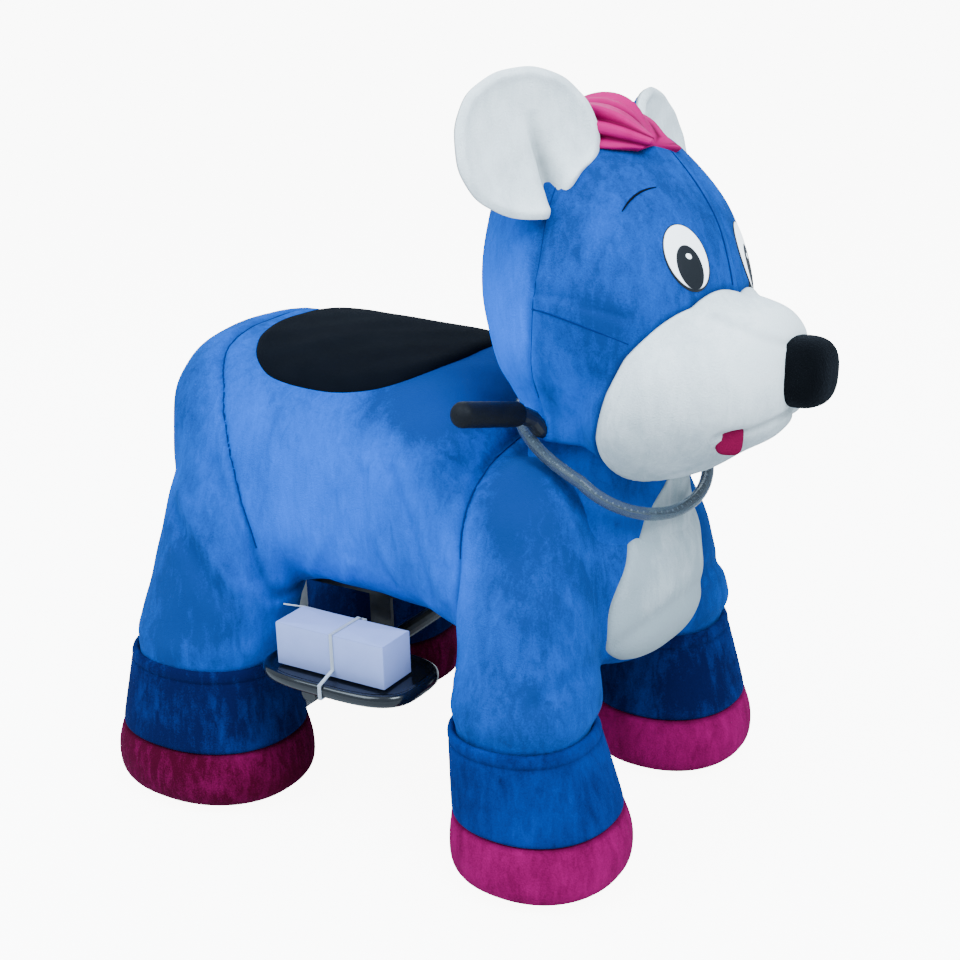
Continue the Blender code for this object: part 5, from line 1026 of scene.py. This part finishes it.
# From the oval's edge inwards: the white inside its line, the pupil and the highlight.
for centre, half, blur, dye in (((0, 0), (0.935, 0.955), 0.015, WHITE), ((0.0, -0.38), (0.56, 0.60), 0.02, INK),
                                ((0.03, -0.12), (0.125, 0.080), 0.06, WHITE)):
    shift = (-centre[0] / half[0], -centre[1] / half[1], 0)
    moved = add(tree, "ShaderNodeMapping", {"Vector": flat_map, "Location": shift,
                                            "Scale": (1 / half[0], 1 / half[1], 0)})
    length = add(tree, "ShaderNodeVectorMath", {0: moved.outputs[0]}, operation="LENGTH").outputs["Value"]
    colour = mixed(tree, ranged(tree, length, 1 + blur, 1 - blur), colour, dye)
feed(tree, shader, {"Base Color": colour, "Emission Color": mixed(tree, 0.995, (0, 0, 0), colour),
                    "Normal": bumped(tree, noise(tree, 60.0, 3.0, vector=flat_map), 0.08, 0.0004)})
share = np.append(np.linspace(0.02, 1.0, 30), 1.0)[:, None]
turn = turns(96)
u, v = share * np.cos(turn), share * np.sin(turn)
lift = 0.0022 - 0.0009 * share**4
lift[-1] = -0.002
shift, half_x, half_y = table_at(SKULL, EYE_HEIGHT)
for word, side in SIDES:
    yaw = math.radians(EYE_YAW[word])
    spot = np.array((FRONT_X + shift + half_x * math.cos(yaw), side * half_y * math.sin(yaw), EYE_HEIGHT))
    sideways, up = np.array((math.sin(yaw), -side * math.cos(yaw), 0.0)), np.array((-0.12, -0.16, 0.98))
    rays = spot + EYE_HALF[0] * u[..., None] * sideways + EYE_HALF[1] * v[..., None] * up - HEART
    form = closed_grid(leaned(np.concatenate([face_out(rays, lift), face_out(rays, -0.004)[::-1]])))
    flat = xyz(u, v, 0)
    make_piece(f"eye_print_{word}", form, printed, "steering", [f"eye_{word}"], 180,
               printed=np.concatenate([flat, flat[::-1]]))

# The brows: two short arcs of black thread, one above each eye.
# Each is a row of satin stitches sewn through the plush, thick in the middle and thin at its ends.
BROW = leaned(((0.262, -0.106, 0.822), (0.266, -0.095, 0.836), (0.272, -0.080, 0.844), (0.281, -0.061, 0.845)), -LEAN)
black_thread = grained("black thread", (0.002, 0.003, 0.006), (0.005, 0.006, 0.010), 0.8, 900.0, 0.5,
                       Specular_IOR_Level=0.05)
for word, side in SIDES:
    fade = np.sin(np.linspace(0.15, math.pi - 0.15, 40)) ** 0.5
    face_stitch(f"brow_{word}", BROW * (1, -side, 1), 0.0012, 0.0015 * fade, 10, black_thread)

# The ears: big round discs of foam, blue plush behind and lined with white in front, rolled over at the rim.
# They are cupped forward and pinched in a crease where they are sewn to the crown.
EAR_PLACE, EAR_HALF, EAR_DEEP = (-0.024, 0.172, 0.878), (0.095, 0.085), 0.0336
EAR_TURN, EAR_TIP = {"right": 32.0, "left": 8.0}, {"right": 0.10, "left": 0.30}
EAR_CREASE = ((0.006, 0.034), (0.012, 0.016), (0.024, -0.017), (0.032, -0.050), (0.037, -0.090))
a, b = oval(2.15, 160)
turn = turns(160)


def dish(share):
    """The depth of an ear's cup at a share of its half sizes: a bowl that falls with the square of the share."""
    return 0.0095 - 0.020 * (1 - share**2)


def ear_disc(centre, axes, side, edge, share, depth):
    """An ear's points and crease: shares of the half sizes along two axes, the depth less the crease along a third.

    The crease is a bell across its line, less a low bell beside it, and fades out upwards.
    """
    u, v = EAR_HALF[0] * share * a * edge, EAR_HALF[1] * share * b * edge
    off = off_line(np.stack([u * -side, v], -1), EAR_CREASE)
    crease = held((0.040 - v) / 0.06) * (0.021 * bell(off, 0.009) - 0.007 * bell(off - 0.024, 0.013))
    return centre + xyz(u, v, depth - crease) @ axes, crease


def sewn_share(centre, axes, edge):
    """How far out the ear's disc runs in each direction before it sinks 4 mm into the head, evened round the rim."""
    share = np.linspace(0.25, 1.0, 76)[:, None]
    spots = xyz(EAR_HALF[0] * share * a * edge, EAR_HALF[1] * share * b * edge, dish(share)) @ axes + centre
    sunk = head_depth(spots) < -0.004
    first = np.where(sunk.any(0), share[np.argmax(sunk, 0), 0], 1.0)
    for step in range(22):
        first = 0.5 * first + 0.25 * (np.roll(first, 1) + np.roll(first, -1))
    return first


# The lining's shares and depths, then the back's: out over its bowl, round the rolled rim and in again in front.
front_share = np.append(np.linspace(0.02, 0.88, 44), (0.90, 0.92, 0.94, 0.965, 0.985, 0.998))[:, None]
front_depth = dish(front_share) - 0.0070 * held((front_share - 0.85) / 0.148) ** 2.5
front_depth += 0.0022 * bell(front_share - 0.90, 0.06)
lump = 0.0010 * np.sin(9 * front_share * a + 2) * np.sin(11 * front_share * b + 1)
ROLL = ((0.90, -0.0125), (0.94, -0.009), (0.96, -0.005), (0.975, -0.0015), (0.985, 0.0), (0.985, 0.0022),
        (0.97, 0.0016), (0.95, -0.0005))
bowl, lid = np.linspace(0.02, 0.85, 30), np.linspace(0.92, 0.02, 20)
back_share = np.concatenate([bowl, np.array(ROLL)[:, 0], lid])[:, None]
back_depth = np.concatenate([-EAR_DEEP * np.sqrt(1 - bowl**2) - 0.002, np.array(ROLL)[:, 1], dish(lid) - 0.0105])
for word, side in SIDES:
    yaw = math.radians(EAR_TURN[word])
    centre = np.array((FRONT_X + EAR_PLACE[0], side * EAR_PLACE[1], EAR_PLACE[2]))
    normal = unit(np.array((math.cos(yaw), side * math.sin(yaw), EAR_TIP[word])))
    sideways = np.array((-side * math.sin(yaw), math.cos(yaw), 0.0))
    axes = np.array((sideways, np.cross(normal, sideways), normal))
    edge = 1 - 0.06 * held(-side * a) + 0.006 * np.sin(5 * turn + 1) + 0.004 * np.sin(13 * turn)
    edge = edge * sewn_share(centre, axes, edge)
    face, crease = ear_disc(centre, axes, side, edge, front_share, front_depth + lump)
    rear, _ = ear_disc(centre, axes, side, edge, front_share[::-1] - 0.010, front_depth[::-1] - 0.006)
    # Painted shade in the crease, and painted light over the whole lining.
    shade = np.append(0.75 * held(crease / 0.018), np.ones(crease.size))
    lining = make_piece(f"ear_lining_{word}", closed_grid(leaned(np.concatenate([face, rear]))), white_plush,
                        "steering", [f"ear_{word}"], 180, shade, 0.62)
    back, _ = ear_disc(centre, axes, side, edge, back_share, back_depth[:, None])
    made = make_piece(f"ear_back_{word}", closed_grid(leaned(back)), blue_plush, "steering", [f"ear_{word}"],
                      180)

# The tuft: fuchsia satin gathered at the crown between the ears, its pleats fanning out to tips over the forehead.
# It is sewn down at its gathered end and stuffed lightly.
# From the gathered end forward: how far along, half width and half height.
TUFT = ((-0.052, 0.024, 0.020), (-0.024, 0.044, 0.031), (0.014, 0.058, 0.034), (0.048, 0.056, 0.029),
        (0.076, 0.040, 0.014))
satin, tree, shader = new_material("fuchsia satin", (0.50, 0.001, 0.08), 0.5, Specular_IOR_Level=0.04, Anisotropic=0.4)
# The satin is darkened in its pleats towards a deep colour: painted shade.
crease = add(tree, "ShaderNodeAttribute", attribute_name="painted_shade").outputs["Fac"]
lit = mixed(tree, noise(tree, 60.0, 3.0), (0.38, 0.0003, 0.092), (0.52, 0.0004, 0.145))
feed(tree, shader, {"Base Color": mixed(tree, crease, lit, (0.10, 0.0003, 0.020)),
                    "Normal": bumped(tree, noise(tree, 900.0, 2.0), 0.12, 0.0004)})
along, wide, tall = smooth_table(TUFT, 110).T[..., None]
turn, run = turns(220), np.linspace(0, 1, 110)[:, None]
pleat = (np.cos(8 * turn + 1.1 * np.sin(2 * turn) + 1.4 * run) + 0.35 * np.cos(17 * turn + 2 * run)) / 1.35
swell = np.sin(math.pi * run**0.8)
x = along + 0.015 * run**4 * np.cos(2 * turn + 0.6)
y = wide * np.cos(turn) * (1 + (0.05 + 0.08 * swell) * pleat)
z = tall * np.sin(turn) * (1 + (0.08 + 0.20 * swell) * pleat) - 2.6 * along**2
gathered = closed_grid(leaned(xyz(FRONT_X - 0.008 + x, -0.042 + y, 0.901 + z)))
# Painted shade in the pleats' valleys, fading out at the gathered end.
shade = 0.95 * held(-pleat) ** 1.2 * held(run * 2)
tuft = make_piece("satin_tuft", gathered, satin, "steering", ["tuft"], 180, shade)

# The light tube: a clear soft vinyl tube worn as a collar, with a ribbon of small lamps inside.
# Its ends are joined into one loop, which hangs from the nape down over the chest and lies on the shoulders.
TUBE_RADIUS, RIBBON_HALF, BEAD_RADIUS, BEAD_EVERY = 0.008, (0.0040, 0.0007), 0.0012, 3
clear_vinyl, tree, shader = new_material("clear vinyl", (0.20, 0.25, 0.30), 0.16, Transmission_Weight=0.80, IOR=1.22)
feed(tree, shader, {"Roughness": ranged(tree, noise(tree, 120.0, 3.0), 0.0, 1.0, 0.10, 0.30)})
ribbon_finish = grained("lamp ribbon", (0.10, 0.11, 0.12), (0.16, 0.17, 0.18), 0.5, 300.0, 0.2)
lens_white = grained("lamp lens", (0.50, 0.53, 0.55), (0.60, 0.62, 0.64), 0.3, 300.0, 0.1)
c, s = np.cos(turns(240)), np.sin(turns(240))
route = xyz(0.226 + np.where(c > 0, 0.074, 0.1445) * c, 0.144 * s, 0.569 - 0.118 * ((1 + c) / 2) ** 1.05)
tube_skin = make_piece("light_tube_skin", hoop(tube(route, TUBE_RADIUS, 20, closed=True)), clear_vinyl, None,
                       ["light_tube"], 180)
band = tube(route, RIBBON_HALF[0], 10, RIBBON_HALF[1], closed=True)
ribbon = make_piece("lamp_ribbon", hoop(band), ribbon_finish, None, (), 180)
climb, turn = np.linspace(0.2, math.pi - 0.2, 5)[:, None], turns(8)
pearl, faces = closed_grid(xyz(np.sin(climb) * np.cos(turn), np.sin(climb) * np.sin(turn), np.cos(climb)) * BEAD_RADIUS)
beads = joined([(spot + (0, 0, 0.0014) + pearl, faces) for spot in route[::BEAD_EVERY]])
lamps = make_piece("lamp_beads", beads, lens_white, None, (), 180)
for piece in (tube_skin, ribbon, lamps):
    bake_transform(piece)

# The carton: a plain white card box with a tuck-in lid, strapped to the right footrest with a clear nylon tie.
# The lid's edge stops short of the back, and the card's corners are slightly worn.
CORNER, LID, INSET, BACK_GAP = 0.0012, 0.0009, 0.0004, 0.0030
card, tree, shader = new_material("white card", (0.42, 0.48, 0.74), 0.7, Specular_IOR_Level=0.2)
feed(tree, shader, {"Base Color": mixed(tree, noise(tree, 40.0, 6.0), (0.25, 0.30, 0.57), (0.31, 0.36, 0.67))})


def card_block(low, high, edge):
    """A box of card: rounded rectangles stacked up, drawn in by the edge at its foot and its top.

    A rectangle is four quarter circles about its corners' centres, each a quarter turn on from the last.
    """
    middle, half = (np.array(low) + high) / 2, (np.array(high) - low) / 2
    ring = np.array([(sx * (half[0] - CORNER) + CORNER * math.cos(turn),
                      sy * (half[1] - CORNER) + CORNER * math.sin(turn))
                     for spin, (sx, sy) in enumerate(((1, 1), (-1, 1), (-1, -1), (1, -1)))
                     for turn in np.linspace(spin, spin + 1, 5) * math.pi / 2])
    drawn, worn = 1 - edge / half[:2], 1 - 0.3 * edge / half[:2]
    rings = ((0.02, low[2]), (drawn, low[2]), (worn, low[2] + 0.3 * edge), (1.0, low[2] + edge),
             (1.0, high[2] - edge), (worn, high[2] - 0.3 * edge), (drawn, high[2]), (0.02, high[2]))
    return closed_grid(np.array([np.column_stack([middle[:2] + ring * share, np.full(len(ring), z)])
                                 for share, z in rings]))


low, high = (np.array(corner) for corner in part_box("carton"))
box = card_block(low, high - (0, 0, LID), 0.0008)
make_piece("carton_box", box, card, "chassis", ["carton"], 40)
lid = card_block((low[0] + INSET, low[1] + INSET, high[2] - 0.0008), high - (INSET, BACK_GAP, 0), 0.0003)
make_piece("carton_lid", lid, card, "chassis", (), 40)
nylon, tree, shader = new_material("clear nylon", (0.62, 0.66, 0.74), 0.35, Transmission_Weight=0.5)
finish(nylon, "carton_tie")

low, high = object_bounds()
